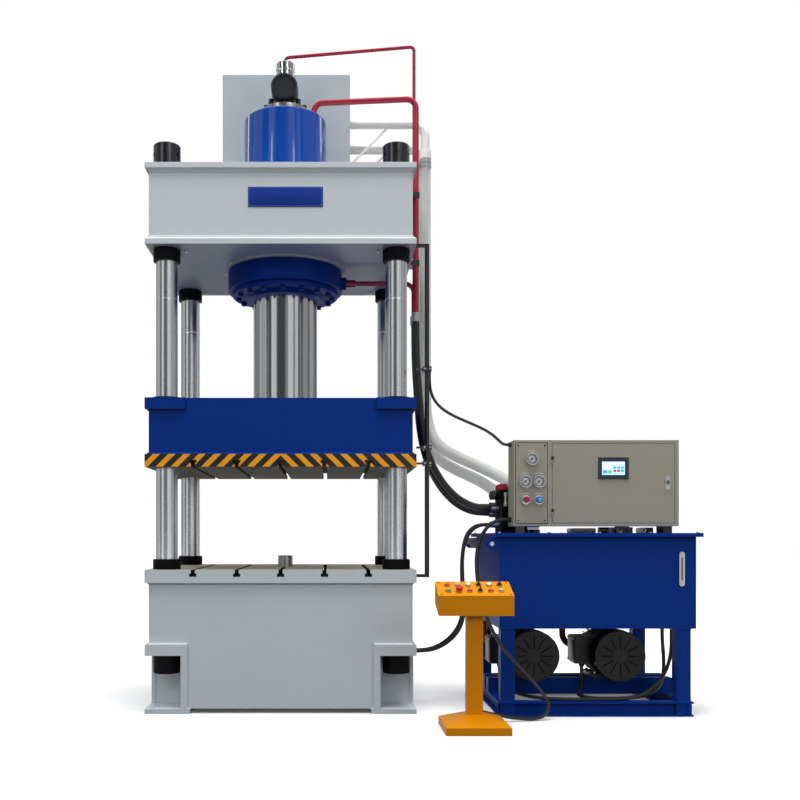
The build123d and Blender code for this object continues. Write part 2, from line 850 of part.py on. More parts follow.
# Ejector rod: rod and piston in one turning
with BuildPart() as ejector_rod:
    piston_top = table_under - piston_drop
    rod_top = table_height + ejector_rise
    with BuildSketch(Plane.XZ):
        with BuildLine():
            Polyline(
                (0, piston_top - piston_height),
                (ejector_bore / 2 - clearance, piston_top - piston_height),
                (ejector_bore / 2 - clearance, piston_top),
                (ejector_rod_dia / 2, piston_top),
                (ejector_rod_dia / 2, rod_top - ejector_chamfer),
                (ejector_rod_dia / 2 - ejector_chamfer, rod_top),
                (0, rod_top),
                close=True,
            )
        make_face()
    revolve(axis=Axis.Z)
save(ejector_rod, "ejector_rod")

# Values worked out for the power unit
beam_top = rail_height + beam_height
tank_top = tank_bottom + tank_height
lid_top = tank_top + lid_thickness
frame_start = motor_front + cowl_length
frame_end = frame_start + frame_length
frame_radius = frame_dia / 2
fin_radius = fin_dia / 2
shaft_radius = shaft_dia / 2
bell_end = frame_end + bell_length
pump_port_y = bell_end + pump_port_share * pump_length
block_top = lid_top + block_height


# The plane across a motor's axis at a distance from front to back
def motor_plane(motor_x, y):
    return Plane(origin=(motor_x, y, motor_axis), x_dir=(1, 0, 0), z_dir=(0, 1, 0))


# One rolled beam between two spans: a web down the middle of its width, with a flange above and below
def rolled_beam(x_span, y_span, along_x):
    block(x_span, y_span, (0, rail_toe))
    block(x_span, y_span, (rail_height - rail_toe, rail_height))
    if along_x:
        middle = sum(y_span) / 2
        block(x_span, (middle - rail_web / 2, middle + rail_web / 2), (0, rail_height))
    else:
        middle = sum(x_span) / 2
        block((middle - rail_web / 2, middle + rail_web / 2), y_span, (0, rail_height))


# Stand: a frame of rolled beams, square legs and two cross beams for the motors, welded together
with BuildPart() as stand:
    for rail_y in (unit_front, unit_back - rail_flange):
        rolled_beam((unit_left, unit_right), (rail_y, rail_y + rail_flange), True)
    for rail_x in (unit_left, unit_right - rail_flange):
        rolled_beam((rail_x, rail_x + rail_flange), (unit_front, unit_back), False)
    for leg_x in (unit_left + leg_inset, unit_right - leg_inset - leg_width):
        for leg_y in (unit_front + leg_set_back, unit_back - leg_set_back - leg_width):
            block((leg_x, leg_x + leg_width), (leg_y, leg_y + leg_width), (0, tank_bottom))
    motor_centre = (frame_start + frame_end) / 2
    for side in (-1, 1):
        beam_y = motor_centre + side * (foot_bar_length - beam_width) / 2
        beam_span = (beam_y - beam_width / 2, beam_y + beam_width / 2)
        block((unit_left, unit_right), beam_span, (rail_height - rail_toe, beam_top))
save(stand, "stand")

# Oil tank: welded box with two rounded ears and their pins on its left side
with BuildPart() as oil_tank:
    block((tank_left, tank_right), (tank_front, tank_back), (tank_bottom, tank_top))
    ear_x = tank_left - ear_reach
    ear_z = tank_top - ear_drop
    for ear_y in (tank_front, tank_back - ear_inset):
        ear_span = (ear_y, ear_y + ear_thickness)
        block((ear_x, tank_left), ear_span, (ear_z - ear_radius, ear_z + ear_radius))
        bar((ear_x, ear_y, ear_z), (0, 1, 0), ear_radius, ear_thickness)
        pin_start = ear_y - (ear_pin_length - ear_thickness) / 2
        bar((ear_x, pin_start, ear_z), (0, 1, 0), ear_pin_dia / 2, ear_pin_length)
    for gland_x, gland_y in motor_cable_starts:
        gland_top = (gland_x, gland_y, tank_bottom)
        bar(gland_top, (0, 0, -1), motor_cable_dia / 2 + gland_wall, gland_reach)
save(oil_tank, "oil_tank")

# Tank lid: plate with the filler and the two return fittings
with BuildPart() as tank_lid:
    lid_x = (tank_left - lid_overhang, tank_right + lid_overhang)
    lid_y = (tank_front - lid_overhang, tank_back + lid_overhang)
    block(lid_x, lid_y, (tank_top, lid_top))
    bar((filler_x, filler_y, lid_top), (0, 0, 1), filler_dia / 2, filler_height)
    for fitting_x, fitting_y in (return_left, return_right):
        fitting_start = (fitting_x, fitting_y, lid_top)
        bar(fitting_start, (0, 0, 1), return_fitting_dia / 2, return_fitting_height)
save(tank_lid, "tank_lid")

# Level gauge: sight glass body on the tank's front
with BuildPart() as level_gauge:
    with BuildSketch(Plane.XZ.offset(-tank_front)):
        with Locations((gauge_x, gauge_centre)):
            SlotOverall(gauge_height, gauge_width, rotation=90)
    extrude(amount=gauge_depth)
save(level_gauge, "level_gauge")

# Motor frames: ribbed cast frames with feet and a terminal box
with BuildPart() as motor_frames:
    for motor_x in motor_xs:
        with BuildSketch(motor_plane(motor_x, frame_start)):
            Circle(frame_radius)
            with PolarLocations((frame_radius + fin_radius - overrun) / 2, fin_count):
                Rectangle(fin_radius - frame_radius + overrun, fin_thickness)
        extrude(amount=frame_length)
        foot_y = (motor_centre - foot_bar_length / 2, motor_centre + foot_bar_length / 2)
        foot_x = (motor_x - foot_bar_reach, motor_x + foot_bar_reach)
        block(foot_x, foot_y, (beam_top, beam_top + foot_bar_height))
        terminal_x = (motor_x - fin_radius - box_width, motor_x - frame_radius / 2)
        terminal_y = frame_start + box_start_share * frame_length
        terminal_z = motor_axis - box_drop_share * box_height
        block(terminal_x, (terminal_y, terminal_y + box_length), (terminal_z, terminal_z + box_height))
        gland_x, gland_y = motor_cable_ends[motor_xs.index(motor_x)]
        bar((gland_x, gland_y, terminal_z), (0, 0, -1), motor_cable_dia / 2 + gland_wall, gland_reach)
        bore_start = (motor_x, frame_start - overrun, motor_axis)
        bar(bore_start, (0, 1, 0), shaft_radius + clearance, frame_length + 2 * overrun, Mode.SUBTRACT)
save(motor_frames, "motor_frames")

# Fan covers: pressed cups with a ring of air slots
with BuildPart() as fan_covers:
    for motor_x in motor_xs:
        bar((motor_x, motor_front, motor_axis), (0, 1, 0), cowl_dia / 2, cowl_length)
        hollow_start = (motor_x, motor_front + cowl_wall, motor_axis)
        bar(hollow_start, (0, 1, 0), cowl_dia / 2 - cowl_wall, cowl_length, Mode.SUBTRACT)
        with BuildSketch(motor_plane(motor_x, motor_front - overrun)):
            with PolarLocations((cowl_slot_inner + cowl_slot_outer) / 2, cowl_slot_count):
                Rectangle(cowl_slot_outer - cowl_slot_inner, cowl_slot_width)
        extrude(amount=cowl_wall + 2 * overrun, mode=Mode.SUBTRACT)
save(fan_covers, "fan_covers")


# Motor rotor: shaft with its cooling fan behind the fan cover
def make_rotor(motor_x):
    fan_start = motor_front + cowl_wall + fan_gap
    with BuildPart() as rotor:
        bar((motor_x, fan_start, motor_axis), (0, 1, 0), shaft_radius, frame_end + shaft_engagement - fan_start)
        bar((motor_x, fan_start, motor_axis), (0, 1, 0), fan_hub_dia / 2, fan_width)
        with BuildSketch(motor_plane(motor_x, fan_start)):
            with PolarLocations(fan_dia / 4, fan_blade_count):
                Rectangle(fan_dia / 2, fan_blade_thickness)
        extrude(amount=fan_width)
    return rotor


save(make_rotor(motor_xs[0]), "motor_rotor_left")
save(make_rotor(motor_xs[1]), "motor_rotor_right")

# Pumps: bell housing, pump body and suction port behind each motor
with BuildPart() as pumps:
    for motor_x in motor_xs:
        bar((motor_x, frame_end, motor_axis), (0, 1, 0), bell_dia / 2, bell_length)
        bar((motor_x, bell_end, motor_axis), (0, 1, 0), pump_dia / 2, pump_length)
        port_reach = pump_dia / 2 + pump_port_length
        bar((motor_x, pump_port_y, motor_axis), (-1, 0, 0), pump_port_dia / 2, port_reach)
        shaft_bore_start = (motor_x, frame_end - overrun, motor_axis)
        shaft_bore_length = shaft_engagement + 2 * overrun
        bar(shaft_bore_start, (0, 1, 0), shaft_radius + clearance, shaft_bore_length, Mode.SUBTRACT)
save(pumps, "pumps")

# Suction pipes: from the tank's floor down and across to the pumps
with BuildPart() as suction_pipes:
    for motor_x in motor_xs:
        suction_x = motor_x - suction_offset
        port_x = motor_x - pump_dia / 2 - pump_port_length
        suction_corners = (
            (suction_x, pump_port_y, tank_bottom),
            (suction_x, pump_port_y, motor_axis),
            (port_x, pump_port_y, motor_axis),
        )
        bent_tube(suction_corners, suction_dia / 2, suction_bend)
save(suction_pipes, "suction_pipes")

# Valve block: manifold with solenoid valves and a cartridge on top, hose fittings on its left face
with BuildPart() as valve_block:
    block((block_left, block_right), (block_front, block_back), (lid_top, block_top))
    for index in range(spool_valve_count):
        spool_y = block_front + spool_valve_step * (index + 0.5)
        saddle_y = (spool_y - spool_saddle / 2, spool_y + spool_saddle / 2)
        block((block_left, block_right), saddle_y, (block_top, block_top + spool_saddle))
        spool_start = (block_left - spool_reach, spool_y, block_top + spool_saddle / 2)
        bar(spool_start, (1, 0, 0), spool_valve_dia / 2, block_right - block_left + 2 * spool_reach)
    cartridge_centre = ((block_left + block_right) / 2, block_back - cartridge_dia / 2, block_top)
    bar(cartridge_centre, (0, 0, 1), cartridge_dia / 2, cartridge_height)
    ejector_unions = [
        (ejector_fitting[0], ejector_fitting[1] + side * ejector_fitting_pitch / 2, ejector_fitting[2])
        for side in (-1, 1)
    ]
    for union, union_dia in (
        (pressure_fitting, pressure_hose_dia),
        (return_fitting, return_hose_dia),
        (pilot_fitting, pilot_hose_dia),
        (ejector_unions[0], ejector_hose_dia),
        (ejector_unions[1], ejector_hose_dia),
    ):
        bar(union, (1, 0, 0), union_dia / 2 + fitting_wall, block_left - union[0])
save(valve_block, "valve_block")

# Values worked out for the cabinet
cabinet_back = cabinet_front + cabinet_depth
inner_front = cabinet_front + cabinet_wall
inner_back = cabinet_back - cabinet_wall
panel_left = cabinet_left + left_border
panel_right = panel_left + panel_width
opening_left = panel_right + mullion_width
opening_right = cabinet_right - right_border
opening_bottom = cabinet_bottom + cabinet_border
opening_top = cabinet_top - cabinet_border
panel_height = opening_top - opening_bottom
panel_face = cabinet_front - panel_thickness
door_left = opening_left + door_seam
door_right = opening_right - door_seam
door_bottom = opening_bottom + door_seam
door_top = opening_top - door_seam
hinge_y = cabinet_front - hinge_dia / 2 - clearance
hinge_z_spots = [door_bottom + share * (door_top - door_bottom) for share in hinge_shares]
latch_x = door_right - latch_inset
latch_z = (door_bottom + door_top) / 2 + latch_offset
screen_x = door_left + screen_x_share * (door_right - door_left)
screen_z = door_bottom + screen_z_share * (door_top - door_bottom)
dial_spots = [
    (panel_left + x_share * panel_width, opening_bottom + z_share * panel_height)
    for x_share, z_share in zip(dial_x_shares, dial_z_shares)
]
knob_spots = [
    (panel_left + x_share * panel_width, opening_bottom + knob_z_share * panel_height)
    for x_share in knob_x_shares
]

# Cabinet: folded sheet box with openings for the gauge panel and the door, on two supports
with BuildPart() as cabinet:
    block((cabinet_left, cabinet_right), (cabinet_front, cabinet_back), (cabinet_bottom, cabinet_top))
    inner_x = (cabinet_left + cabinet_wall, cabinet_right - cabinet_wall)
    inner_z = (cabinet_bottom + cabinet_wall, cabinet_top - cabinet_wall)
    block(inner_x, (inner_front, inner_back), inner_z, Mode.SUBTRACT)
    cut_y = (cabinet_front - overrun, inner_front + overrun)
    block((opening_left, opening_right), cut_y, (opening_bottom, opening_top), Mode.SUBTRACT)
    panel_hole_x = (panel_left + panel_lap, panel_right - panel_lap)
    panel_hole_z = (opening_bottom + panel_lap, opening_top - panel_lap)
    block(panel_hole_x, cut_y, panel_hole_z, Mode.SUBTRACT)
    for support_x in (cabinet_left + support_inset, cabinet_right - support_inset - support_width):
        support_span = (support_x, support_x + support_width)
        block(support_span, (cabinet_front + support_width, cabinet_back), (lid_top, cabinet_bottom))
    for hinge_z in hinge_z_spots:
        leaf_x = (opening_left - hinge_dia, opening_left)
        block(leaf_x, (hinge_y, cabinet_front), (hinge_z, hinge_z + hinge_length / 2))
        bar((opening_left, hinge_y, hinge_z), (0, 0, 1), hinge_dia / 2, hinge_length / 2)
        bar((opening_left, hinge_y, hinge_z), (0, 0, 1), hinge_pin_dia / 2, hinge_length)
    for gland_end, cable_dia in (
        (sensor_cable_end, sensor_cable_dia),
        (pedestal_cable_start, pedestal_cable_dia),
    ):
        bar(gland_end, (1, 0, 0), cable_dia / 2 + gland_wall, cabinet_left - gland_end[0])
save(cabinet, "cabinet")

# Gauge panel: cover plate over the left opening
with BuildPart() as gauge_panel:
    block((panel_left, panel_right), (panel_face, cabinet_front), (opening_bottom, opening_top))
    for knob_x, knob_z in knob_spots:
        hole_start = (knob_x, panel_face - overrun, knob_z)
        hole_length = panel_thickness + 2 * overrun
        bar(hole_start, (0, 1, 0), knob_shaft_dia / 2 + clearance, hole_length, Mode.SUBTRACT)
save(gauge_panel, "gauge_panel")

# Electrical plate: back plate on two rails, with rows of switchgear behind the door
with BuildPart() as electrical_plate:
    plate_x = (opening_left, cabinet_right - inner_plate_margin)
    plate_z = (cabinet_bottom + inner_plate_margin, cabinet_top - inner_plate_margin)
    plate_y = inner_back - inner_plate_stand
    block(plate_x, (plate_y - inner_plate_thickness, plate_y), plate_z)
    for rail_x in (plate_x[0], plate_x[1] - inner_plate_margin):
        block((rail_x, rail_x + inner_plate_margin), (plate_y, inner_back), plate_z)
    gear_face = plate_y - inner_plate_thickness
    gear_step = (plate_z[1] - plate_z[0]) / gear_row_count
    for row, gear_count in enumerate(gear_counts):
        gear_pitch = (plate_x[1] - plate_x[0] - inner_plate_margin) / gear_count
        gear_z = plate_z[0] + (row + 0.5) * gear_step
        for index in range(gear_count):
            gear_x = plate_x[0] + inner_plate_margin / 2 + (index + 0.5) * gear_pitch
            gear_half = gear_width_share * gear_pitch / 2
            gear_span = (gear_x - gear_half, gear_x + gear_half)
            gear_rows = (gear_z - gear_height / 2, gear_z + gear_height / 2)
            block(gear_span, (gear_face - gear_depth, gear_face), gear_rows)
save(electrical_plate, "electrical_plate")

# Cabinet door: folded pan with its hinge knuckles and the oval escutcheon of the latch
with BuildPart() as cabinet_door:
    block((door_left, door_right), (cabinet_front, cabinet_front + door_pan), (door_bottom, door_top))
    pan_x = (door_left + cabinet_wall, door_right - cabinet_wall)
    pan_z = (door_bottom + cabinet_wall, door_top - cabinet_wall)
    block(pan_x, (inner_front, inner_front + door_pan), pan_z, Mode.SUBTRACT)
    cut_x = (screen_x - screen_cut_share * screen_width, screen_x + screen_cut_share * screen_width)
    cut_z = (screen_z - screen_cut_share * screen_height, screen_z + screen_cut_share * screen_height)
    block(cut_x, cut_y, cut_z, Mode.SUBTRACT)
    for hinge_z in hinge_z_spots:
        knuckle_z = hinge_z + hinge_length / 2 + clearance
        leaf_x = (opening_left, opening_left + hinge_dia)
        block(leaf_x, (hinge_y, cabinet_front), (knuckle_z, hinge_z + hinge_length))
        knuckle_length = hinge_length / 2 - clearance
        bar((opening_left, hinge_y, knuckle_z), (0, 0, 1), hinge_dia / 2, knuckle_length)
        pin_radius = hinge_pin_dia / 2 + clearance
        bar((opening_left, hinge_y, hinge_z), (0, 0, 1), pin_radius, hinge_length + overrun, Mode.SUBTRACT)
    with BuildSketch(Plane.XZ.offset(-cabinet_front)):
        with Locations((latch_x, latch_z)):
            SlotOverall(escutcheon_height, escutcheon_width, rotation=90)
    extrude(amount=escutcheon_depth)
    latch_front = cabinet_front - escutcheon_depth
    latch_bore_start = (latch_x, latch_front - overrun, latch_z)
    latch_bore_length = escutcheon_depth + cabinet_wall + 2 * overrun
    bar(latch_bore_start, (0, 1, 0), latch_core_dia / 2 + clearance, latch_bore_length, Mode.SUBTRACT)
save(cabinet_door, "cabinet_door")

# Touch screen: bezel on the door with its case behind, and a shallow recess for the glass
with BuildPart() as touch_screen:
    bezel_x = (screen_x - screen_width / 2, screen_x + screen_width / 2)
    bezel_z = (screen_z - screen_height / 2, screen_z + screen_height / 2)
    block(bezel_x, (cabinet_front - screen_proud, cabinet_front), bezel_z)
    case_x = (cut_x[0] + clearance, cut_x[1] - clearance)
    case_z = (cut_z[0] + clearance, cut_z[1] - clearance)
    block(case_x, (cabinet_front, cabinet_front + screen_body_depth), case_z)
    glass_x = (screen_x - screen_glass_width / 2, screen_x + screen_glass_width / 2)
    glass_z = (screen_z - screen_glass_height / 2, screen_z + screen_glass_height / 2)
    glass_y = (cabinet_front - screen_proud - overrun, cabinet_front - screen_proud + screen_recess)
    block(glass_x, glass_y, glass_z, Mode.SUBTRACT)
save(touch_screen, "touch_screen")

# Door latch: turning core with a finger wing outside and a cam behind the door
with BuildPart() as door_latch:
    core_start = latch_front - latch_proud
    cam_front = cabinet_front + door_pan + latch_cam_gap
    cam_back = cam_front + latch_cam_thickness
    bar((latch_x, core_start, latch_z), (0, 1, 0), latch_core_dia / 2, cam_back - core_start)
    wing_x = (latch_x - latch_wing_thickness / 2, latch_x + latch_wing_thickness / 2)
    wing_z = (latch_z - latch_wing / 2, latch_z + latch_wing / 2)
    block(wing_x, (core_start - latch_proud, core_start), wing_z)
    cam_x = (latch_x - latch_cam_width / 2, latch_x + latch_cam_width / 2)
    block(cam_x, (cam_front, cam_back), (latch_z - latch_cam_length, latch_z))
save(door_latch, "door_latch")

# Gauge cases and regulator collars on the gauge panel
with BuildPart() as gauge_cases:
    dial_front = panel_face - dial_depth
    dial_floor_y = panel_face - dial_floor
    for dial_x, dial_z in dial_spots:
        bar((dial_x, dial_front, dial_z), (0, 1, 0), dial_dia / 2, dial_depth)
        dish_depth = dial_depth - dial_floor
        bar((dial_x, dial_front, dial_z), (0, 1, 0), dial_dia / 2 - dial_wall, dish_depth, Mode.SUBTRACT)
        bar((dial_x, dial_floor_y, dial_z), (0, -1, 0), dial_pin_dia / 2, dial_pin_height)
    for knob_x, knob_z in knob_spots:
        bar((knob_x, panel_face, knob_z), (0, -1, 0), knob_base_dia / 2, knob_base_height)
        collar_bore = knob_shaft_dia / 2 + clearance
        bar((knob_x, panel_face, knob_z), (0, -1, 0), collar_bore, knob_base_height, Mode.SUBTRACT)
save(gauge_cases, "gauge_cases")


# Gauge needle: tapered pointer on a hub round the gauge's pin, at its zero
def make_needle(spot):
    pointer = radians(needle_zero)
    rest_plane = Plane(
        origin=(spot[0], dial_floor_y - needle_lift, spot[1]),
        x_dir=(cos(pointer), 0, sin(pointer)),
        z_dir=(0, -1, 0),
    )
    with BuildPart() as needle:
        with BuildSketch(rest_plane):
            Circle(needle_hub_dia / 2)
            with BuildLine():
                Polyline(
                    (-needle_tail, -needle_root / 2),
                    (needle_length, -needle_tip / 2),
                    (needle_length, needle_tip / 2),
                    (-needle_tail, needle_root / 2),
                    close=True,
                )
            make_face()
            Circle(dial_pin_dia / 2 + clearance, mode=Mode.SUBTRACT)
        extrude(amount=needle_thickness)
    return needle


for needle_name, dial_spot in zip(needle_names, dial_spots):
    save(make_needle(dial_spot), needle_name)


# Regulator knob: fluted hand knob on a shaft through its collar and the panel
def make_knob(spot):
    knob_back = panel_face - knob_base_height - clearance
    knob_plane = Plane(origin=(spot[0], knob_back, spot[1]), x_dir=(1, 0, 0), z_dir=(0, -1, 0))
    with BuildPart() as knob:
        with BuildSketch(knob_plane):
            Circle(knob_dia / 2)
            with PolarLocations(knob_dia / 2, knob_flute_count):
                Circle(knob_flute_dia / 2, mode=Mode.SUBTRACT)
        extrude(amount=knob_height)
        bar((spot[0], knob_back, spot[1]), (0, 1, 0), knob_shaft_dia / 2, knob_shaft_length)
    return knob


for knob_name, knob_spot in zip(knob_names, knob_spots):
    save(make_knob(knob_spot), knob_name)

# Values worked out for the pedestal
desk_front = pedestal_y - desk_depth / 2
desk_back = pedestal_y + desk_depth / 2
desk_left = pedestal_x - desk_width / 2
slope_rise = desk_back_height - desk_front_height
slope_angle = degrees(atan2(slope_rise, desk_depth))
slope_length = desk_depth / cos(radians(slope_angle))
slope_normal = (0, -sin(radians(slope_angle)), cos(radians(slope_angle)))
desk_plane = Plane(
    origin=(pedestal_x, desk_front, desk_bottom + desk_front_height), x_dir=(1, 0, 0), z_dir=slope_normal
)
button_xs = [(column - (button_columns - 1) / 2) * button_pitch_x for column in range(button_columns)]
front_row, back_row = (share * slope_length for share in button_row_shares)
lamp_spots = [(button_xs[column], back_row) for column in (0, 1, 2, 4)]
push_spots = {
    "start_button": (button_xs[0], front_row),
    "stop_button": (button_xs[1], front_row),
    "lower_button": (button_xs[2], front_row),
    "raise_button": (button_xs[4], front_row),
    "eject_button": (button_xs[5], front_row),
}
selector_spots = {
    "mode_selector": (button_xs[3], back_row),
    "heat_selector": (button_xs[5], back_row),
    "pump_selector": (button_xs[3], front_row),
}
control_spots = list(push_spots.values()) + list(selector_spots.values())


# Height of the sloped panel at a distance from front to back
def desk_roof(y):
    return desk_bottom + desk_front_height + slope_rise * (y - desk_front) / desk_depth


# Height of the desk's underside, which rises from front to back
def desk_floor(y):
    return desk_bottom + desk_under_rise * (y - desk_front) / desk_depth


# Pedestal: skirted foot with a sloped top, and a square post with the cable gland at its back
with BuildPart() as pedestal:
    base_half = pedestal_base / 2
    base_x = (pedestal_x - base_half, pedestal_x + base_half)
    base_y = (pedestal_y - base_half, pedestal_y + base_half)
    block(base_x, base_y, (0, pedestal_skirt))
    with BuildSketch(Plane.XY.offset(pedestal_skirt)):
        with Locations((pedestal_x, pedestal_y)):
            Rectangle(pedestal_base, pedestal_base)
    with BuildSketch(Plane.XY.offset(pedestal_skirt + pedestal_slope_height)):
        with Locations((pedestal_x, pedestal_y)):
            Rectangle(post_width + 2 * post_margin, post_width + 2 * post_margin)
    loft()
    post_half = post_width / 2
    post_x = (pedestal_x - post_half, pedestal_x + post_half)
    post_y = (pedestal_y - post_half, pedestal_y + post_half)
    with BuildSketch(Plane.YZ.offset(post_x[0])):
        with BuildLine():
            Polyline(
                (post_y[0], 0),
                (post_y[1], 0),
                (post_y[1], desk_floor(post_y[1])),
                (post_y[0], desk_floor(post_y[0])),
                close=True,
            )
        make_face()
    extrude(amount=post_width)
    gland_length = pedestal_cable_end[1] - post_y[1]
    bar(pedestal_cable_end, (0, -1, 0), pedestal_cable_dia / 2 + gland_wall, gland_length)
save(pedestal, "pedestal")


# Button box: folded sheet desk with a sloped panel, hollow, with holes for the controls
with BuildPart() as button_box:
    for inset, mode in ((0, Mode.ADD), (desk_wall, Mode.SUBTRACT)):
        roof_drop = inset / cos(radians(slope_angle))
        front_roof = desk_roof(desk_front + inset) - roof_drop
        back_roof = desk_roof(desk_back - inset) - roof_drop
        with BuildSketch(Plane.YZ.offset(desk_left + inset)):
            with BuildLine():
                Polyline(
                    (desk_front + inset, desk_floor(desk_front + inset) + inset),
                    (desk_back - inset, desk_floor(desk_back - inset) + inset),
                    (desk_back - inset, back_roof),
                    (desk_front + inset, front_roof),
                    close=True,
                )
            make_face()
        extrude(amount=desk_width - 2 * inset, mode=mode)
    with BuildSketch(desk_plane.offset(overrun)):
        with Locations(*control_spots):
            Circle(button_stem_dia / 2 + clearance)
    extrude(amount=-desk_wall - 2 * overrun, mode=Mode.SUBTRACT)
save(button_box, "button_box")

# Panel fittings: the four lamps, and the bezel round each control
with BuildPart() as panel_fittings:
    with BuildSketch(desk_plane):
        with Locations(*lamp_spots):
            Circle(bezel_dia / 2)
        with Locations(*control_spots):
            Circle(bezel_dia / 2)
            Circle(bezel_bore / 2, mode=Mode.SUBTRACT)
    extrude(amount=bezel_height)
    with BuildSketch(desk_plane.offset(bezel_height)):
        with Locations(*lamp_spots):
            Circle(lamp_dia / 2)
    extrude(amount=lamp_height - bezel_height)
save(panel_fittings, "panel_fittings")


# Push button: head in its bezel on a stem through the panel, with a mushroom head where it is a stop
def make_button(spot, mushroom):
    head_top = bezel_height + button_proud
    with BuildPart() as button:
        with BuildSketch(desk_plane.offset(-button_stem_length)):
            with Locations(spot):
                Circle(button_stem_dia / 2)
        extrude(amount=button_stem_length + head_top)
        with BuildSketch(desk_plane.offset(button_travel + clearance)):
            with Locations(spot):
                Circle(button_dia / 2)
        extrude(amount=head_top - button_travel - clearance)
        if mushroom:
            with BuildSketch(desk_plane.offset(head_top)):
                with Locations(spot):
                    Circle(mushroom_dia / 2)
            extrude(amount=mushroom_height)
    return button


for button_name, button_spot in push_spots.items():
    save(make_button(button_spot, button_name == "stop_button"), button_name)


# Selector: turning head in its bezel with a raised finger lever
def make_selector(spot):
    head_top = bezel_height + button_proud
    with BuildPart() as selector:
        with BuildSketch(desk_plane.offset(-button_stem_length)):
            with Locations(spot):
                Circle(button_stem_dia / 2)
        extrude(amount=button_stem_length + head_top)
        with BuildSketch(desk_plane.offset(clearance)):
            with Locations(spot):
                Circle(button_dia / 2)
        extrude(amount=head_top - clearance)
        with BuildSketch(desk_plane.offset(head_top)):
            with Locations(spot):
                Rectangle(selector_lever_width, button_dia)
        extrude(amount=selector_lever_height)
    return selector


for selector_name, selector_spot in selector_spots.items():
    save(make_selector(selector_spot), selector_name)


# A hose or cable along hand-chosen points: straight runs joined by arcs as large as the runs allow
def lay_cord(points, dia):
    corners = [Vector(*point) for point in points]
    runs = [after - before for before, after in zip(corners, corners[1:])]
    radii = []
    for before, after in zip(runs, runs[1:]):
        half_turn = radians(before.get_angle(after)) / 2
        radii.append(arc_share * min(before.length, after.length) / tan(half_turn))
    with BuildLine() as route:
        FilletPolyline(*points, radius=radii)
    with BuildSketch(Plane(origin=route.line @ 0, z_dir=route.line % 0)) as section:
        Circle(dia / 2)
    tube = sweep(section.sketch, path=route.line)
    length = route.wire().length
    filled = tube.volume / (section.sketch.area * length)
    print(f"diameter {dia:.0f}, length {length:.0f}, volume share {filled:.4f},", end=" ")
    print("radii", [round(radius) for radius in radii])


hose_start = tube_end - fitting_length

# Pressure hoses: the pressure, return and pilot lines from the tubes to the valve block
with BuildPart() as pressure_hoses:
    pressure_route = [
        (pressure_x, pressure_y, hose_start), (978, -122, 2560), (1004, -124, 2240), (1020, -130, 2030),
        (1052, -142, 1860), (1108, -165, 1712), (1182, -197, 1588), (1268, -230, 1495),
        (1345, -262, 1447), (1420, -280, 1421), pressure_fitting,
    ]
    lay_cord(pressure_route, pressure_hose_dia)
    return_route = [
        (return_x, return_y, hose_start), (972, 0, 2560), (992, -6, 2240), (1008, -18, 2020),
        (1040, -36, 1845), (1094, -62, 1690), (1168, -95, 1562), (1254, -132, 1464),
        (1336, -165, 1411), (1420, -195, 1385), return_fitting,
    ]
    lay_cord(return_route, return_hose_dia)
    pilot_route = [
        (pilot_x, pilot_y, hose_start), (968, -62, 2560), (985, -66, 2240), (998, -78, 2020),
        (1030, -92, 1845), (1085, -114, 1692), (1165, -150, 1562), (1256, -184, 1478),
        (1340, -203, 1448), (1420, -205, 1440), pilot_fitting,
    ]
    lay_cord(pilot_route, pilot_hose_dia)
save(pressure_hoses, "pressure_hoses")

# Clear hoses: two spiral-wound return hoses from the overflow pipes to the tank lid
with BuildPart() as clear_hoses:
    return_height = lid_top + return_fitting_height
    front_clear_route = [
        (upper_pipe_x, upper_pipe_y, pipe_end), (1110, 500, 2420), (1118, 492, 2190), (1152, 470, 2036),
        (1215, 437, 1942), (1290, 400, 1884), (1385, 355, 1830), (1505, 298, 1770), (1631, 238, 1702),
        (1755, 178, 1622), (1830, 143, 1545), (1878, 120, 1456), (1900, 110, 1360),
        (*return_right, return_height),
    ]
    lay_cord(front_clear_route, clear_hose_dia)
    rear_clear_route = [
        (lower_pipe_x, lower_pipe_y, pipe_end), (1100, 612, 2400), (1102, 602, 2180), (1124, 572, 2010),
        (1178, 530, 1890), (1250, 490, 1815), (1345, 440, 1752), (1450, 385, 1698), (1550, 330, 1640),
        (1632, 280, 1575), (1695, 235, 1500), (1732, 205, 1420), (1745, 190, 1345), (*return_left, return_height),
    ]
    lay_cord(rear_clear_route, clear_hose_dia)
save(clear_hoses, "clear_hoses")

# Sensor cable: from the upper limit switch to the cabinet
with BuildPart() as sensor_cable:
    sensor_route = [
        (1035, -520, switch_heights[2]), (1035, -520, 2290), (1044, -524, 2220), (1075, -532, 2152),
        (1128, -542, 2098), (1195, -551, 2056), (1270, -559, 2021), (1345, -566, 1988),
        (1412, -571, 1956), (1468, -575, 1919), (1510, -577, 1880), (1542, -577, 1850), sensor_cable_end,
    ]
    lay_cord(sensor_route, sensor_cable_dia)
save(sensor_cable, "sensor_cable")

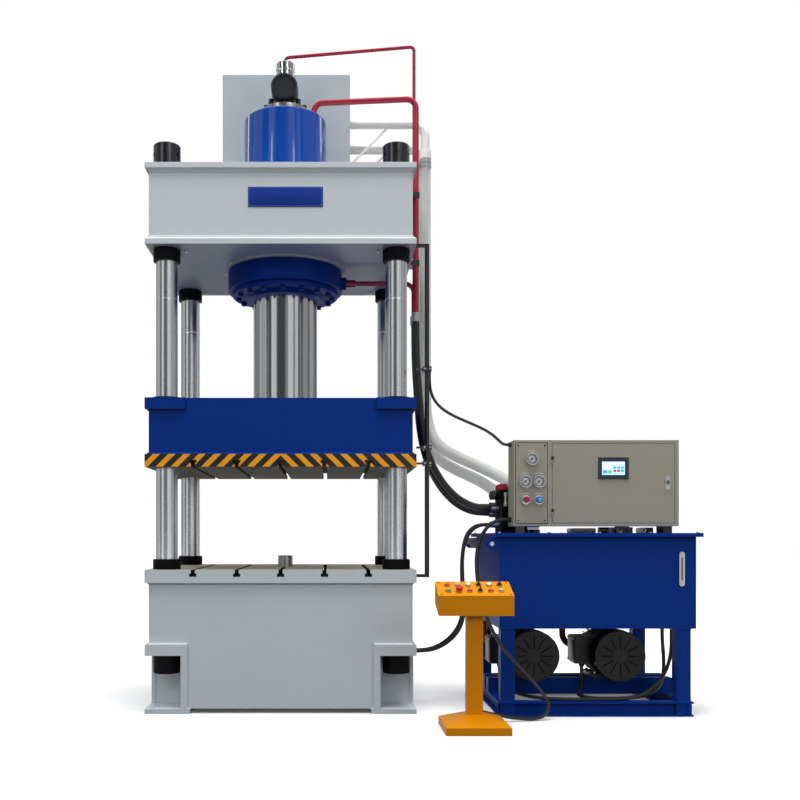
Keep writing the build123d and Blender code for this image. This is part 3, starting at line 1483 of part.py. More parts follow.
# Ejector hoses: from the valve block down to the unions on the bed
with BuildPart() as ejector_hoses:
    bed_union_x = body_half_x + bed_port_length
    front_ejector_route = [
        ejector_unions[0], (1448, -335, 1300), (1396, -334, 1288), (1349, -331, 1250), (1316, -326, 1190),
        (1298, -320, 1110), (1293, -312, 1020), (1298, -304, 920), (1306, -296, 820), (1313, -290, 720),
        (1308, -286, 630), (1284, -280, 550), (1240, -274, 484), (1175, -268, 430), (1105, -264, 395),
        (1030, -262, 380), (bed_union_x, bed_port_y - bed_port_pitch / 2, bed_port_height),
    ]
    lay_cord(front_ejector_route, ejector_hose_dia)
    rear_ejector_route = [
        ejector_unions[1], (1440, -265, 1300), (1388, -263, 1286), (1345, -258, 1246), (1318, -250, 1180),
        (1305, -243, 1090), (1300, -236, 990), (1303, -230, 890), (1308, -225, 790), (1310, -220, 695),
        (1300, -216, 612), (1272, -212, 540), (1226, -208, 480), (1166, -203, 430), (1098, -200, 396),
        (1026, -198, 380), (bed_union_x, bed_port_y + bed_port_pitch / 2, bed_port_height),
    ]
    lay_cord(rear_ejector_route, ejector_hose_dia)
save(ejector_hoses, "ejector_hoses")

# Pedestal cable: from the cabinet to the floor and back up into the post
with BuildPart() as pedestal_cable:
    pedestal_route = [
        pedestal_cable_start, (1525, -577, 1330), (1475, -584, 1316), (1428, -600, 1282), (1388, -622, 1230),
        (1358, -648, 1165), (1340, -676, 1090), (1334, -704, 1005), (1338, -730, 910), (1352, -754, 810),
        (1376, -776, 710), (1410, -796, 615), (1456, -814, 525), (1516, -826, 440), (1588, -837, 360),
        (1660, -846, 283), (1725, -856, 206), (1778, -866, 132), (1785, -873, 98), (1778, -883, 65),
        (1758, -894, 39), (1729, -904, 22), (1684, -914, 15), (1620, -925, 16), (1540, -940, 26),
        (1460, -953, 42), (1385, -968, 56), (1325, -986, 74), (1284, -1010, 94), (1260, -1043, 108),
        (1250, -1080, 112), pedestal_cable_end,
    ]
    lay_cord(pedestal_route, pedestal_cable_dia)
save(pedestal_cable, "pedestal_cable")

# Motor cables: from the tank's floor along the front beam to the terminal boxes
with BuildPart() as motor_cables:
    cable_top = tank_bottom - gland_reach
    cable_end = motor_axis - box_drop_share * box_height - gland_reach
    left_motor_route = [
        (*motor_cable_starts[0], cable_top), (2700, -600, 510), (2696, -608, 440), (2680, -622, 365),
        (2648, -640, 292), (2600, -662, 228), (2540, -686, 178), (2470, -710, 142), (2390, -731, 122),
        (2300, -742, 114), (2200, -746, 113), (2100, -744, 113), (2000, -747, 113), (1905, -742, 113),
        (1818, -727, 114), (1742, -698, 117), (1678, -656, 123), (1628, -606, 134), (1592, -550, 148),
        (1566, -492, 163), (1555, -458, 180), (1547, -432, 210), (1543, -419, 247),
        (*motor_cable_ends[0], cable_end),
    ]
    lay_cord(left_motor_route, motor_cable_dia)
    right_motor_route = [
        (*motor_cable_starts[1], cable_top), (2700, -420, 500), (2703, -428, 420), (2702, -446, 345),
        (2692, -474, 278), (2670, -510, 222), (2636, -552, 178), (2590, -596, 147), (2532, -636, 128),
        (2465, -668, 118), (2390, -692, 114), (2305, -708, 113), (2215, -712, 113), (2140, -702, 113),
        (2090, -680, 115), (2062, -648, 119), (2053, -606, 124), (2062, -564, 131), (2080, -524, 141),
        (2101, -484, 152), (2114, -450, 170), (2124, -425, 202), (2129, -412, 242),
        (*motor_cable_ends[1], cable_end),
    ]
    lay_cord(right_motor_route, motor_cable_dia)
save(motor_cables, "motor_cables")
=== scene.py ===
import json
import math

import bmesh
import bpy
from mathutils import Matrix, Vector


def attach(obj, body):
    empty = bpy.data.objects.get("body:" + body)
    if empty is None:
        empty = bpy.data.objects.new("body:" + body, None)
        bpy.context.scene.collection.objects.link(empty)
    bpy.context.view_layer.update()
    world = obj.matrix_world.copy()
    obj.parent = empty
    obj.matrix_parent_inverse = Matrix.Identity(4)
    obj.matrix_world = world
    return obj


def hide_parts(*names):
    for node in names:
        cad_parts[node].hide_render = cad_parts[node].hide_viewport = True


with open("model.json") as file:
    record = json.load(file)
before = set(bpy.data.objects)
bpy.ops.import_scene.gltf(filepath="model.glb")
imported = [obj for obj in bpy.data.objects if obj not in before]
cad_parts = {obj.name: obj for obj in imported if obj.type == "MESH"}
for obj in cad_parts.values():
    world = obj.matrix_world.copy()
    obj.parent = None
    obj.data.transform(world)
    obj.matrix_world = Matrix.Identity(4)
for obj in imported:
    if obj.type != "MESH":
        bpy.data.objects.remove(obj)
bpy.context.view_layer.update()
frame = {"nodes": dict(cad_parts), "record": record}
nodes = frame["nodes"]
scene = bpy.context.scene
scene.view_settings.view_transform = "Standard"


# Stage: a studio floor of matt white vinyl under four soft boxes, with the camera in front at chest height.
# The world is plain white. Pale and dark panels stand all round, out of the camera's sight, where only
# bright metal and gloss paint mirror them.
def srgb(code):
    channels = [int(code[i : i + 2], 16) / 255 for i in (1, 3, 5)]
    return tuple(c / 12.92 if c <= 0.04045 else ((c + 0.055) / 1.055) ** 2.4 for c in channels) + (1.0,)


def put(tree, kind, inputs=(), **settings):
    node = tree.nodes.new(kind)
    for name, value in settings.items():
        setattr(node, name, value)
    for socket, value in dict(inputs).items():
        if isinstance(value, bpy.types.NodeSocket):
            tree.links.new(value, node.inputs[socket])
        else:
            node.inputs[socket].default_value = value
    return node


def plain_material(name):
    """A fresh material, with its node tree and its shader."""
    material = bpy.data.materials.new(name)
    material.use_nodes = True
    return material, material.node_tree, material.node_tree.nodes["Principled BSDF"]


def background_rays(tree):
    """One for the rays that show the background itself: straight, off metal or through glass."""
    rays = put(tree, "ShaderNodeLightPath").outputs
    direct = {0: rays["Is Camera Ray"], 1: rays["Is Glossy Ray"]}
    seen = put(tree, "ShaderNodeMath", direct, operation="MAXIMUM")
    through = {0: seen.outputs[0], 1: rays["Is Transmission Ray"]}
    return put(tree, "ShaderNodeMath", through, operation="MAXIMUM").outputs[0]


camera_data = bpy.data.cameras.new("photo_camera")
camera_data.sensor_width = 36.0
camera_data.lens = 41.49
camera_data.shift_x = 0.0875
camera_data.shift_y = 0.1712
camera = bpy.data.objects.new("photo_camera", camera_data)
camera.location = (0.338, -6.9775, 1.210)
camera.rotation_euler = (math.radians(90), 0, 0)
scene.collection.objects.link(camera)
scene.camera = camera

world = bpy.data.worlds.new("studio_world")
scene.world = world
world.use_nodes = True
sky = world.node_tree
sky.nodes.clear()
horizon_light, zenith_light, white_light = 0.22, 0.8, 1.0
sky_way = put(sky, "ShaderNodeSeparateXYZ", {0: put(sky, "ShaderNodeTexCoord").outputs["Generated"]})
overhead = put(sky, "ShaderNodeMapRange", {0: sky_way.outputs["Z"], 3: horizon_light, 4: zenith_light})
level = put(sky, "ShaderNodeMix", {0: background_rays(sky), 2: overhead.outputs[0], 3: white_light})
backdrop = put(sky, "ShaderNodeBackground", {"Color": srgb("#FFFFFF"), "Strength": level.outputs[0]})
put(sky, "ShaderNodeOutputWorld", {"Surface": backdrop.outputs[0]})

for lamp_name, place, aim, size, power in (
    ("key_softbox", (-5.0, -9.0, 6.5), (0.3, 0.0, 2.0), 4.0, 170.0),
    ("fill_softbox", (6.5, -8.0, 4.5), (1.2, 0.0, 1.6), 3.5, 110.0),
    ("top_softbox", (0.8, -1.2, 12.0), (0.8, -0.6, 0.0), 7.0, 1500.0),
    ("back_softbox", (1.0, 6.5, 5.5), (0.6, 0.0, 2.0), 4.0, 60.0),
):
    lamp_data = bpy.data.lights.new(lamp_name, "AREA")
    lamp_data.size = size
    lamp_data.energy = power
    lamp = bpy.data.objects.new(lamp_name, lamp_data)
    lamp.location = place
    lamp.visible_glossy = False
    lamp.rotation_euler = (Vector(aim) - Vector(place)).to_track_quat("-Z", "Y").to_euler()
    scene.collection.objects.link(lamp)

# The floor is as white as the backdrop to the camera, metal and glass, with a glow that makes up for
# the lamps' falling off far out. To the light that it throws back up it is a dark grey.
floor_half = 40.0
floor_centre, lit_reach, far_reach = (0.8, -0.2, 0.0), 3.0, 9.0
near_glow, far_glow = 0.05, 0.44
floor_vinyl, vinyl_tree, vinyl_shader = plain_material("matt_white_vinyl")
vinyl_place = put(vinyl_tree, "ShaderNodeTexCoord").outputs["Object"]
vinyl_reach = put(vinyl_tree, "ShaderNodeVectorMath", {0: vinyl_place, 1: floor_centre}, operation="DISTANCE")
vinyl_glow = put(vinyl_tree, "ShaderNodeMapRange", {
    0: vinyl_reach.outputs["Value"], 1: lit_reach, 2: far_reach, 3: near_glow, 4: far_glow,
})
vinyl_seen = background_rays(vinyl_tree)
vinyl_shown = {0: vinyl_glow.outputs[0], 1: vinyl_seen}
vinyl_level = put(vinyl_tree, "ShaderNodeMath", vinyl_shown, operation="MULTIPLY")
vinyl_tree.links.new(vinyl_level.outputs[0], vinyl_shader.inputs["Emission Strength"])
vinyl_shader.inputs["Emission Color"].default_value = srgb("#FFFFFF")
vinyl_tones = {0: vinyl_seen, 6: srgb("#454543"), 7: srgb("#F7F7F7")}
vinyl_tone = put(vinyl_tree, "ShaderNodeMix", vinyl_tones, data_type="RGBA")
vinyl_tree.links.new(vinyl_tone.outputs[2], vinyl_shader.inputs["Base Color"])
vinyl_shader.inputs["Roughness"].default_value = 0.8
floor_mesh = bpy.data.meshes.new("studio_floor")
floor_corners = [(floor_half * x, floor_half * y, 0) for x, y in ((-1, -1), (1, -1), (1, 1), (-1, 1))]
floor_mesh.from_pydata(floor_corners, [], [(0, 1, 2, 3)])
floor_mesh.materials.append(floor_vinyl)
floor = bpy.data.objects.new("studio_floor", floor_mesh)
scene.collection.objects.link(floor)

# Tall panels by bearing from the front, width in degrees and glow; four narrow bright strips hang before
# them for the streaks on the cylinder.
tall_panels = [
    (-110, 20, 0.30), (-85, 26, 0.50), (-59, 22, 0.09), (-36, 14, 0.80), (-14, 30, 0.08), (6, 10, 0.30),
    (21, 18, 0.85), (33, 5, 0.10), (42, 11, 0.80), (52, 8, 0.08), (77, 40, 0.40), (108, 20, 0.50),
    (129, 22, 0.60), (149, 18, 0.14), (166, 16, 0.62), (187, 26, 0.10), (208, 16, 0.66), (228, 24, 0.30),
]
bright_strips = [(-38, 3, 10.0), (26, 3.5, 9.0), (-128, 5, 4.0), (128, 5, 4.0)]
panel_radius, panel_low, panel_high = 9.0, 0.1, 14.0
strip_radius, strip_low, strip_high = 8.8, 6.9, 10.5
ring_centre_x = 0.2
panels = [(*panel, panel_radius, panel_low, panel_high) for panel in tall_panels]
panels += [(*strip, strip_radius, strip_low, strip_high) for strip in bright_strips]
for number, (bearing, spread, glow, away, low, high) in enumerate(panels):
    half = away * math.tan(math.radians(spread) / 2)
    cloth = bpy.data.meshes.new(f"panel_{number}")
    corners = [(-half, 0, low), (half, 0, low), (half, 0, high), (-half, 0, high)]
    cloth.from_pydata(corners, [], [(0, 1, 2, 3)])
    panel = bpy.data.objects.new(f"panel_{number}", cloth)
    turn = math.radians(bearing)
    panel.location = (ring_centre_x + away * math.sin(turn), -away * math.cos(turn), 0)
    panel.rotation_euler = (0, 0, turn)
    panel.visible_camera = False
    panel.visible_diffuse = False
    panel.visible_shadow = False
    panel_cloth, _, panel_shader = plain_material(f"panel_cloth_{number}")
    panel_shader.inputs["Base Color"].default_value = srgb("#000000")
    panel_shader.inputs["Specular IOR Level"].default_value = 0.0
    panel_shader.inputs["Emission Color"].default_value = srgb("#FFFFFD")
    panel_shader.inputs["Emission Strength"].default_value = glow
    cloth.materials.append(panel_cloth)
    scene.collection.objects.link(panel)


# Bed: a welded steel box with corner ledges and foot plates, sprayed light grey.
# Only the table's top and its T-slots are left bare, planed and then ground, with the bloom of old oil. The
# slots' walls and floors are painted a dark steel, which is painted shade.
# A black stop closes each slot at the back.
def enamel(name, colour, roughness=0.32, shade=0.93, peel=0.25, gleam=0.4):
    """Sprayed two-pack enamel: an even colour with faint clouds, and an orange-peel skin of about 3 mm."""
    material, tree, shader = plain_material(name)
    place = put(tree, "ShaderNodeTexCoord").outputs["Object"]
    clouds = put(tree, "ShaderNodeTexNoise", {"Vector": place, "Scale": 2.2, "Detail": 6.0, "Roughness": 0.6})
    full = srgb(colour)
    deep = tuple(c * shade for c in full[:3]) + (1.0,)
    tint = put(tree, "ShaderNodeMix", {0: clouds.outputs["Fac"], 6: deep, 7: full}, data_type="RGBA")
    tree.links.new(tint.outputs[2], shader.inputs["Base Color"])
    skin = put(tree, "ShaderNodeTexNoise", {"Vector": place, "Scale": 330.0, "Detail": 2.0})
    bump = put(tree, "ShaderNodeBump", {"Height": skin.outputs["Fac"], "Strength": peel, "Distance": 0.0002})
    tree.links.new(bump.outputs[0], shader.inputs["Normal"])
    gloss_range = {0: clouds.outputs["Fac"], 3: roughness - 0.05, 4: roughness + 0.08}
    gloss = put(tree, "ShaderNodeMapRange", gloss_range)
    tree.links.new(gloss.outputs[0], shader.inputs["Roughness"])
    shader.inputs["Specular IOR Level"].default_value = gleam
    return material


def machined_steel(name, colour, roughness=0.3, lay=(6.0, 250.0, 250.0), metallic=1.0, gleam=0.5):
    """Machined steel: tool marks about 4 mm apart that run along one axis, under a patchy oil bloom."""
    material, tree, shader = plain_material(name)
    place = put(tree, "ShaderNodeTexCoord").outputs["Object"]
    along = put(tree, "ShaderNodeMapping", {"Vector": place, "Scale": lay})
    marks = put(tree, "ShaderNodeTexNoise", {"Vector": along.outputs[0], "Scale": 1.0, "Detail": 4.0})
    bloom = put(tree, "ShaderNodeTexNoise", {"Vector": place, "Scale": 5.0, "Detail": 6.0, "Roughness": 0.65})
    full = srgb(colour)
    dull = (full[0] * 0.74, full[1] * 0.71, full[2] * 0.66, 1.0)
    tint = put(tree, "ShaderNodeMix", {0: bloom.outputs["Fac"], 6: dull, 7: full}, data_type="RGBA")
    tree.links.new(tint.outputs[2], shader.inputs["Base Color"])
    gloss_range = {0: marks.outputs["Fac"], 3: roughness - 0.08, 4: roughness + 0.12}
    gloss = put(tree, "ShaderNodeMapRange", gloss_range)
    tree.links.new(gloss.outputs[0], shader.inputs["Roughness"])
    bump = put(tree, "ShaderNodeBump", {"Height": marks.outputs["Fac"], "Strength": 0.2, "Distance": 0.0001})
    tree.links.new(bump.outputs[0], shader.inputs["Normal"])
    shader.inputs["Metallic"].default_value = metallic
    shader.inputs["Specular IOR Level"].default_value = gleam
    return material


def span(node):
    """The two corners of a CAD node's box."""
    corners = [nodes[node].matrix_world @ Vector(corner) for corner in nodes[node].bound_box]
    return Vector(map(min, zip(*corners))), Vector(map(max, zip(*corners)))


def made_of(form, name, materials, sharp=None):
    """Turns a finished form into an object, with sharp edges where its faces meet past an angle."""
    mesh = bpy.data.meshes.new(name)
    form.to_mesh(mesh)
    form.free()
    for material in materials:
        mesh.materials.append(material)
    if sharp:
        mesh.set_sharp_from_angle(angle=math.radians(sharp))
    piece = bpy.data.objects.new(name, mesh)
    scene.collection.objects.link(piece)
    return piece


def worked_out(piece):
    """The plain mesh that an object's modifiers or its curve give."""
    return bpy.data.meshes.new_from_object(piece.evaluated_get(bpy.context.evaluated_depsgraph_get()))


def fixed(piece, body="machine_frame"):
    """Fixes a piece to the body that it moves with."""
    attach(piece, body)
    return piece


node_body = {node: body for body, group in frame["record"]["behaviour"]["bodies"].items() for node in group}
merge_gap, flat_angle, ease_angle, sharp_angle = 0.00002, 0.8, 40, 35


def dress(node, ease, materials, choose=None):
    """A copy of a CAD node with its triangles merged and its edges eased, which stands for the node."""
    form = bmesh.new()
    form.from_mesh(nodes[node].data)
    bmesh.ops.remove_doubles(form, verts=form.verts, dist=merge_gap)
    bmesh.ops.dissolve_limit(form, angle_limit=math.radians(flat_angle), verts=form.verts, edges=form.edges)
    form.normal_update()
    for face in form.faces:
        face.smooth = True
        face.material_index = choose(face.calc_center_median(), face.normal) if choose else 0
    piece = made_of(form, node + "_finish", materials)
    if "custom_normal" in piece.data.attributes:
        piece.data.attributes.remove(piece.data.attributes["custom_normal"])
    if ease:
        bevel = piece.modifiers.new("eased_edges", "BEVEL")
        bevel.width = ease / 1000
        bevel.segments = 2
        bevel.limit_method = "ANGLE"
        bevel.angle_limit = math.radians(ease_angle)
        piece.data = worked_out(piece)
        piece.modifiers.clear()
    piece.data.set_sharp_from_angle(angle=math.radians(sharp_angle))
    if ease:
        weighted = piece.modifiers.new("flat_faces", "WEIGHTED_NORMAL")
        weighted.weight = 90
        weighted.keep_sharp = True
        piece.data = worked_out(piece)
        piece.modifiers.clear()
    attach(piece, node_body[node])
    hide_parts(node)
    return piece


def repeat_tree(name, inputs, result):
    """An empty node tree with named inputs, a finish and one result, and its input sockets."""
    tree = bpy.data.node_groups.new(name, "GeometryNodeTree")
    for socket, kind in {**inputs, "Finish": "Material"}.items():
        tree.interface.new_socket(socket, in_out="INPUT", socket_type="NodeSocket" + kind)
    tree.interface.new_socket(result, in_out="OUTPUT", socket_type="NodeSocketGeometry")
    return tree, put(tree, "NodeGroupInput").outputs


def close_tree(tree, shape, finish):
    """Ends a node tree: its copies become plain mesh and take their finish."""
    real = put(tree, "GeometryNodeRealizeInstances", {0: shape})
    painted = put(tree, "GeometryNodeSetMaterial", {"Geometry": real.outputs[0], "Material": finish})
    put(tree, "NodeGroupOutput", {0: painted.outputs[0]})


def node_mesh(name, tree, base, sizes, material, body="machine_frame"):
    """Runs a node tree on a mesh of points or lines and keeps the result as a plain piece on a body."""
    piece = bpy.data.objects.new(name, base)
    scene.collection.objects.link(piece)
    modifier = piece.modifiers.new(name, "NODES")
    modifier.node_group = tree
    for item in tree.interface.items_tree:
        if item.in_out == "INPUT" and item.name in sizes:
            modifier[item.identifier] = sizes[item.name]
        if item.in_out == "INPUT" and item.name == "Finish":
            modifier[item.identifier] = material
    made = worked_out(piece)
    piece.modifiers.clear()
    piece.data = made
    return fixed(piece, body)


ripple_length, ripple_phase, ripple_share, bead_sides = 0.006, 2.1, 0.12, 8
bead_inputs = {"Seams": "Geometry", "Throat": "Float", "Ripple": "Float"}
bead_tree, bead_in = repeat_tree("weld_bead", bead_inputs, "Beads")
bead_line = put(bead_tree, "GeometryNodeMeshToCurve", {"Mesh": bead_in["Seams"]})
bead_cut = {"Curve": bead_line.outputs[0], "Length": bead_in["Ripple"]}
bead_steps = put(bead_tree, "GeometryNodeResampleCurve", bead_cut, mode="LENGTH")
bead_index = put(bead_tree, "GeometryNodeInputIndex")
bead_advance = {0: bead_index.outputs[0], 1: ripple_phase}
bead_phase = put(bead_tree, "ShaderNodeMath", bead_advance, operation="MULTIPLY")
bead_wave = put(bead_tree, "ShaderNodeMath", {0: bead_phase.outputs[0]}, operation="SINE")
bead_swing = {0: bead_wave.outputs[0], 1: ripple_share, 2: 1.0}
bead_swell = put(bead_tree, "ShaderNodeMath", bead_swing, operation="MULTIPLY_ADD")
bead_round = put(bead_tree, "GeometryNodeSetCurveRadius", {
    "Curve": bead_steps.outputs[0], "Radius": bead_swell.outputs[0],
})
bead_ring = put(bead_tree, "GeometryNodeCurvePrimitiveCircle", {
    "Resolution": bead_sides, "Radius": bead_in["Throat"],
})
bead_skin = put(bead_tree, "GeometryNodeCurveToMesh", {
    "Curve": bead_round.outputs[0], "Profile Curve": bead_ring.outputs[0],
})
bead_smooth = put(bead_tree, "GeometryNodeSetShadeSmooth", {0: bead_skin.outputs[0]})
close_tree(bead_tree, bead_smooth.outputs[0], bead_in["Finish"])


def weld(name, seams, material, throat, body="machine_frame"):
    """Fillet welds along straight seams, each given by its two ends."""
    lines = bpy.data.meshes.new(name)
    ends = [end for seam in seams for end in seam]
    lines.from_pydata(ends, [(i, i + 1) for i in range(0, len(ends), 2)], [])
    sizes = {"Throat": throat, "Ripple": ripple_length}
    return node_mesh(name, bead_tree, lines, sizes, material, body)


def slab(name, low, high, material, ease=0.001):
    """A plate or small box between two corners, with its edges eased."""
    form = bmesh.new()
    bmesh.ops.create_cube(form, size=1.0)
    for vert in form.verts:
        vert.co = Vector(h if c > 0 else l for c, l, h in zip(vert.co, low, high))
    bmesh.ops.bevel(form, geom=form.edges[:], offset=ease, segments=2, profile=0.5, affect="EDGES")
    form.normal_update()
    for face in form.faces:
        face.smooth = True
    return fixed(made_of(form, name, [material], sharp=25))


grey_enamel = enamel("light_grey_enamel", "#D3DCE2", gleam=0.12)
ground_steel = machined_steel("ground_table_steel", "#E2DCCB", roughness=0.42, metallic=0.45)
# A dark, matt steel colour that paints the shade in the T-slots and under the slide.
slot_shade_steel = machined_steel("oiled_steel_painted_shade", "#4A463F", roughness=0.7, metallic=0.0, gleam=0.1)
dull_black = enamel("dull_black_oxide", "#0D0E10", roughness=0.6, shade=0.7, peel=0.1, gleam=0.08)
bed_high = span("bed")[1]
table_top = bed_high.z
slot_pitch, slot_depth, slot_margin = 0.300, 0.049, 0.030
slots_reach = 2 * slot_pitch + slot_margin


# The slots' walls and floors take the dark steel, which is painted shade; the table's top takes ground steel.
def bed_finish(at, up):
    if at.z < table_top - slot_depth:
        return 0
    below_top = abs(up.x) > 0.5 or at.z < table_top - 0.001
    in_slot = abs(at.x) < slots_reach and below_top and abs(up.y) < 0.5
    return 2 if in_slot else int(up.z > 0.5)


dress("bed", 3.0, [grey_enamel, ground_steel, slot_shade_steel], bed_finish)
flange_overhang, table_plate, foot_plate = 0.024, 0.090, 0.035
recess_width, ledge_overhang, ledge_low, ledge_high = 0.227, 0.039, 0.397, 0.473
wall_x, wall_y = bed_high.x - flange_overhang, bed_high.y - flange_overhang
recess_x, recess_y = wall_x - recess_width, wall_y - recess_width
ledge_x, ledge_y = recess_x - ledge_overhang, recess_y - ledge_overhang


def girth(side, height):
    """Two of the four seams round a welded box: one along its front or back, one along an end."""
    return [
        ((-wall_x, side * wall_y, height), (wall_x, side * wall_y, height)),
        ((side * wall_x, -wall_y, height), (side * wall_x, wall_y, height)),
    ]


bed_seams = []
for side in (-1, 1):
    bed_seams += girth(side, table_top - table_plate)
    for end in (-1, 1):
        bed_seams += [
            ((side * recess_x, end * wall_y, foot_plate), (side * recess_x, end * wall_y, ledge_low)),
            ((side * wall_x, end * recess_y, foot_plate), (side * wall_x, end * recess_y, ledge_low)),
            ((side * ledge_x, end * wall_y, ledge_high), (side * wall_x, end * wall_y, ledge_high)),
            ((side * wall_x, end * ledge_y, ledge_high), (side * wall_x, end * wall_y, ledge_high)),
        ]
weld("bed_welds", bed_seams, grey_enamel, throat=0.010)
stop_half, stop_inset, stop_thickness, stop_clearance, stop_sunk = 0.0135, 0.0155, 0.012, 0.0015, 0.002
stop_back = bed_high.y - stop_inset
for number in range(5):
    slot_x = slot_pitch * (number - 2)
    stop_low = (slot_x - stop_half, stop_back - stop_thickness, table_top - slot_depth + stop_clearance)
    stop_high = (slot_x + stop_half, stop_back, table_top - stop_sunk)
    slab(f"slot_stop_{number}", stop_low, stop_high, dull_black, ease=0.0008)


# Columns and plunger: ground steel bars with a hard-chrome skin, mirror bright with faint grinding rings.
# The columns stand in the bed and carry the crosshead. The plunger hangs from the cylinder and carries
# the slide.
def turned(name, profile, frames, materials, body="machine_frame", steps=64, choose=None):
    """Lathe work: a profile of (radius, height) pairs spun about the Z axis of each frame."""
    form = bmesh.new()
    for place in frames:
        rings = []
        for radius, height in profile:
            turns = [math.tau * i / steps for i in range(steps if radius > 0 else 1)]
            points = [Vector((radius * math.cos(t), radius * math.sin(t), height)) for t in turns]
            rings.append([form.verts.new(place @ point) for point in points])
        for low, high in zip(rings, rings[1:]):
            for i in range(steps):
                j = (i + 1) % steps
                if len(low) == 1 and len(high) > 1:
                    form.faces.new((low[0], high[j], high[i]))
                elif len(high) == 1 and len(low) > 1:
                    form.faces.new((low[i], low[j], high[0]))
                elif len(low) > 1:
                    form.faces.new((low[i], low[j], high[j], high[i]))
    bmesh.ops.recalc_face_normals(form, faces=form.faces)
    for face in form.faces:
        face.smooth = True
        face.material_index = choose(face.calc_center_median()) if choose else 0
    return fixed(made_of(form, name, materials, sharp=32), body)


def stood(x, y, z=0.0, direction=(0, 0, 1)):
    """The frame of a turned piece: where it stands and which way it points."""
    return Matrix.Translation((x, y, z)) @ Vector(direction).to_track_quat("Z", "Y").to_matrix().to_4x4()


def bar(radius, low, high, chamfer):
    """The profile of a round bar with its upper edge chamfered."""
    return [(0, low), (radius, low), (radius, high - chamfer), (radius - chamfer, high), (0, high)]


def chrome(name, colour, finest, coarsest):
    """Hard chrome over ground steel: a mirror with grinding rings about 3 mm apart."""
    material, tree, shader = plain_material(name)
    place = put(tree, "ShaderNodeTexCoord").outputs["Object"]
    lay = put(tree, "ShaderNodeMapping", {"Vector": place, "Scale": (2.0, 2.0, 320.0)})
    rings = put(tree, "ShaderNodeTexNoise", {"Vector": lay.outputs[0], "Scale": 1.0, "Detail": 2.0})
    gloss = put(tree, "ShaderNodeMapRange", {0: rings.outputs["Fac"], 3: finest, 4: coarsest})
    tree.links.new(gloss.outputs[0], shader.inputs["Roughness"])
    shader.inputs["Base Color"].default_value = srgb(colour)
    shader.inputs["Metallic"].default_value = 1.0
    return material


hard_chrome = chrome("hard_chrome", "#BFC2C6", 0.08, 0.17)
column_chrome = chrome("ground_column_chrome", "#D3D6DA", 0.20, 0.28)
column_low, column_high = span("columns")
column_x, column_y, column_radius, column_chamfer = 0.800, 0.540, 0.075, 0.005
groove_height, groove_half, groove_depth, groove_land = 2.861, 0.002, 0.0008, 0.012
column_spots = [stood(x, y) for x in (-column_x, column_x) for y in (-column_y, column_y)]
column_profile = [
    (0, column_low.z), (column_radius - column_chamfer, column_low.z),
    (column_radius, column_low.z + column_chamfer), (column_radius, groove_height - groove_land),
    (column_radius, groove_height - groove_half), (column_radius - groove_depth, groove_height),
    (column_radius, groove_height + groove_half), (column_radius, groove_height + groove_land),
    (column_radius, column_high.z - column_chamfer), (column_radius - column_chamfer, column_high.z),
    (0, column_high.z),
]
columns_piece = turned("column_bars", column_profile, column_spots, [column_chrome], steps=96)
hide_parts("columns")
plunger_low, plunger_high = span("plunger")
plunger_radius, plunger_chamfer = 0.240, 0.008
plunger_profile = bar(plunger_radius, plunger_low.z, plunger_high.z, plunger_chamfer)
plunger_piece = turned(
    "plunger_ram", plunger_profile, [stood(0, 0)], [hard_chrome], body="slide_body", steps=144,
)
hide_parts("plunger")

# Column nuts and adjusting nuts: turned steel rings, heat-blackened in oil, with holes for a pin spanner.
# The split nuts under the crosshead are pinched by a screw.
black_oxide = enamel("black_oxide_steel", "#131418", roughness=0.24, shade=0.7, peel=0.1, gleam=0.7)
dress("column_nuts", 0, [black_oxide, dull_black], lambda at, up: int(at.z < table_top))
dress("adjusting_nuts", 0, [dull_black])

# Upper crosshead: a welded box between two flanges, sprayed grey, with steel plugs in the eye-bolt holes
# of its underside.
# A bare blue plate with a fine rim is riveted to its front.
dress("upper_crosshead", 3.0, [grey_enamel])
cross_low, cross_high = span("upper_crosshead")
lower_flange, upper_flange = 0.068, 0.056
flange_heights = (cross_low.z + lower_flange, cross_high.z - upper_flange)
cross_seams = [seam for side in (-1, 1) for height in flange_heights for seam in girth(side, height)]
weld("crosshead_welds", cross_seams, grey_enamel, throat=0.008)
head_tree, head_in = repeat_tree("screw_heads", {
    "Points": "Geometry", "Head Radius": "Float", "Head Height": "Float", "Sides": "Int",
    "Socket Share": "Float", "Facing": "Vector",
}, "Heads")
socket_depth_share = 0.55
head_blank = put(head_tree, "GeometryNodeMeshCylinder", {
    "Vertices": head_in["Sides"], "Radius": head_in["Head Radius"], "Depth": head_in["Head Height"],
})
head_rim = put(head_tree, "GeometryNodeExtrudeMesh", {
    "Mesh": head_blank.outputs["Mesh"], "Selection": head_blank.outputs["Top"], "Offset Scale": 0.0,
})
head_ring = put(head_tree, "GeometryNodeScaleElements", {
    "Geometry": head_rim.outputs["Mesh"], "Selection": head_rim.outputs["Top"],
    "Scale": head_in["Socket Share"],
})
head_sink = {0: head_in["Head Height"], 1: -socket_depth_share}
head_depth = put(head_tree, "ShaderNodeMath", head_sink, operation="MULTIPLY")
head_sunk = put(head_tree, "GeometryNodeExtrudeMesh", {
    "Mesh": head_ring.outputs[0], "Selection": head_rim.outputs["Top"], "Offset Scale": head_depth.outputs[0],
})
head_lift = put(head_tree, "ShaderNodeMath", {0: head_in["Head Height"], 1: 0.5}, operation="MULTIPLY")
head_shift = put(head_tree, "ShaderNodeCombineXYZ", {"Z": head_lift.outputs[0]})
head_up = put(head_tree, "GeometryNodeTransform", {
    "Geometry": head_sunk.outputs["Mesh"], "Translation": head_shift.outputs[0],
})
head_turn = put(head_tree, "FunctionNodeAlignRotationToVector", {"Vector": head_in["Facing"]}, axis="Z")
head_copies = put(head_tree, "GeometryNodeInstanceOnPoints", {
    "Points": head_in["Points"], "Instance": head_up.outputs[0], "Rotation": head_turn.outputs[0],
})
close_tree(head_tree, head_copies.outputs[0], head_in["Finish"])


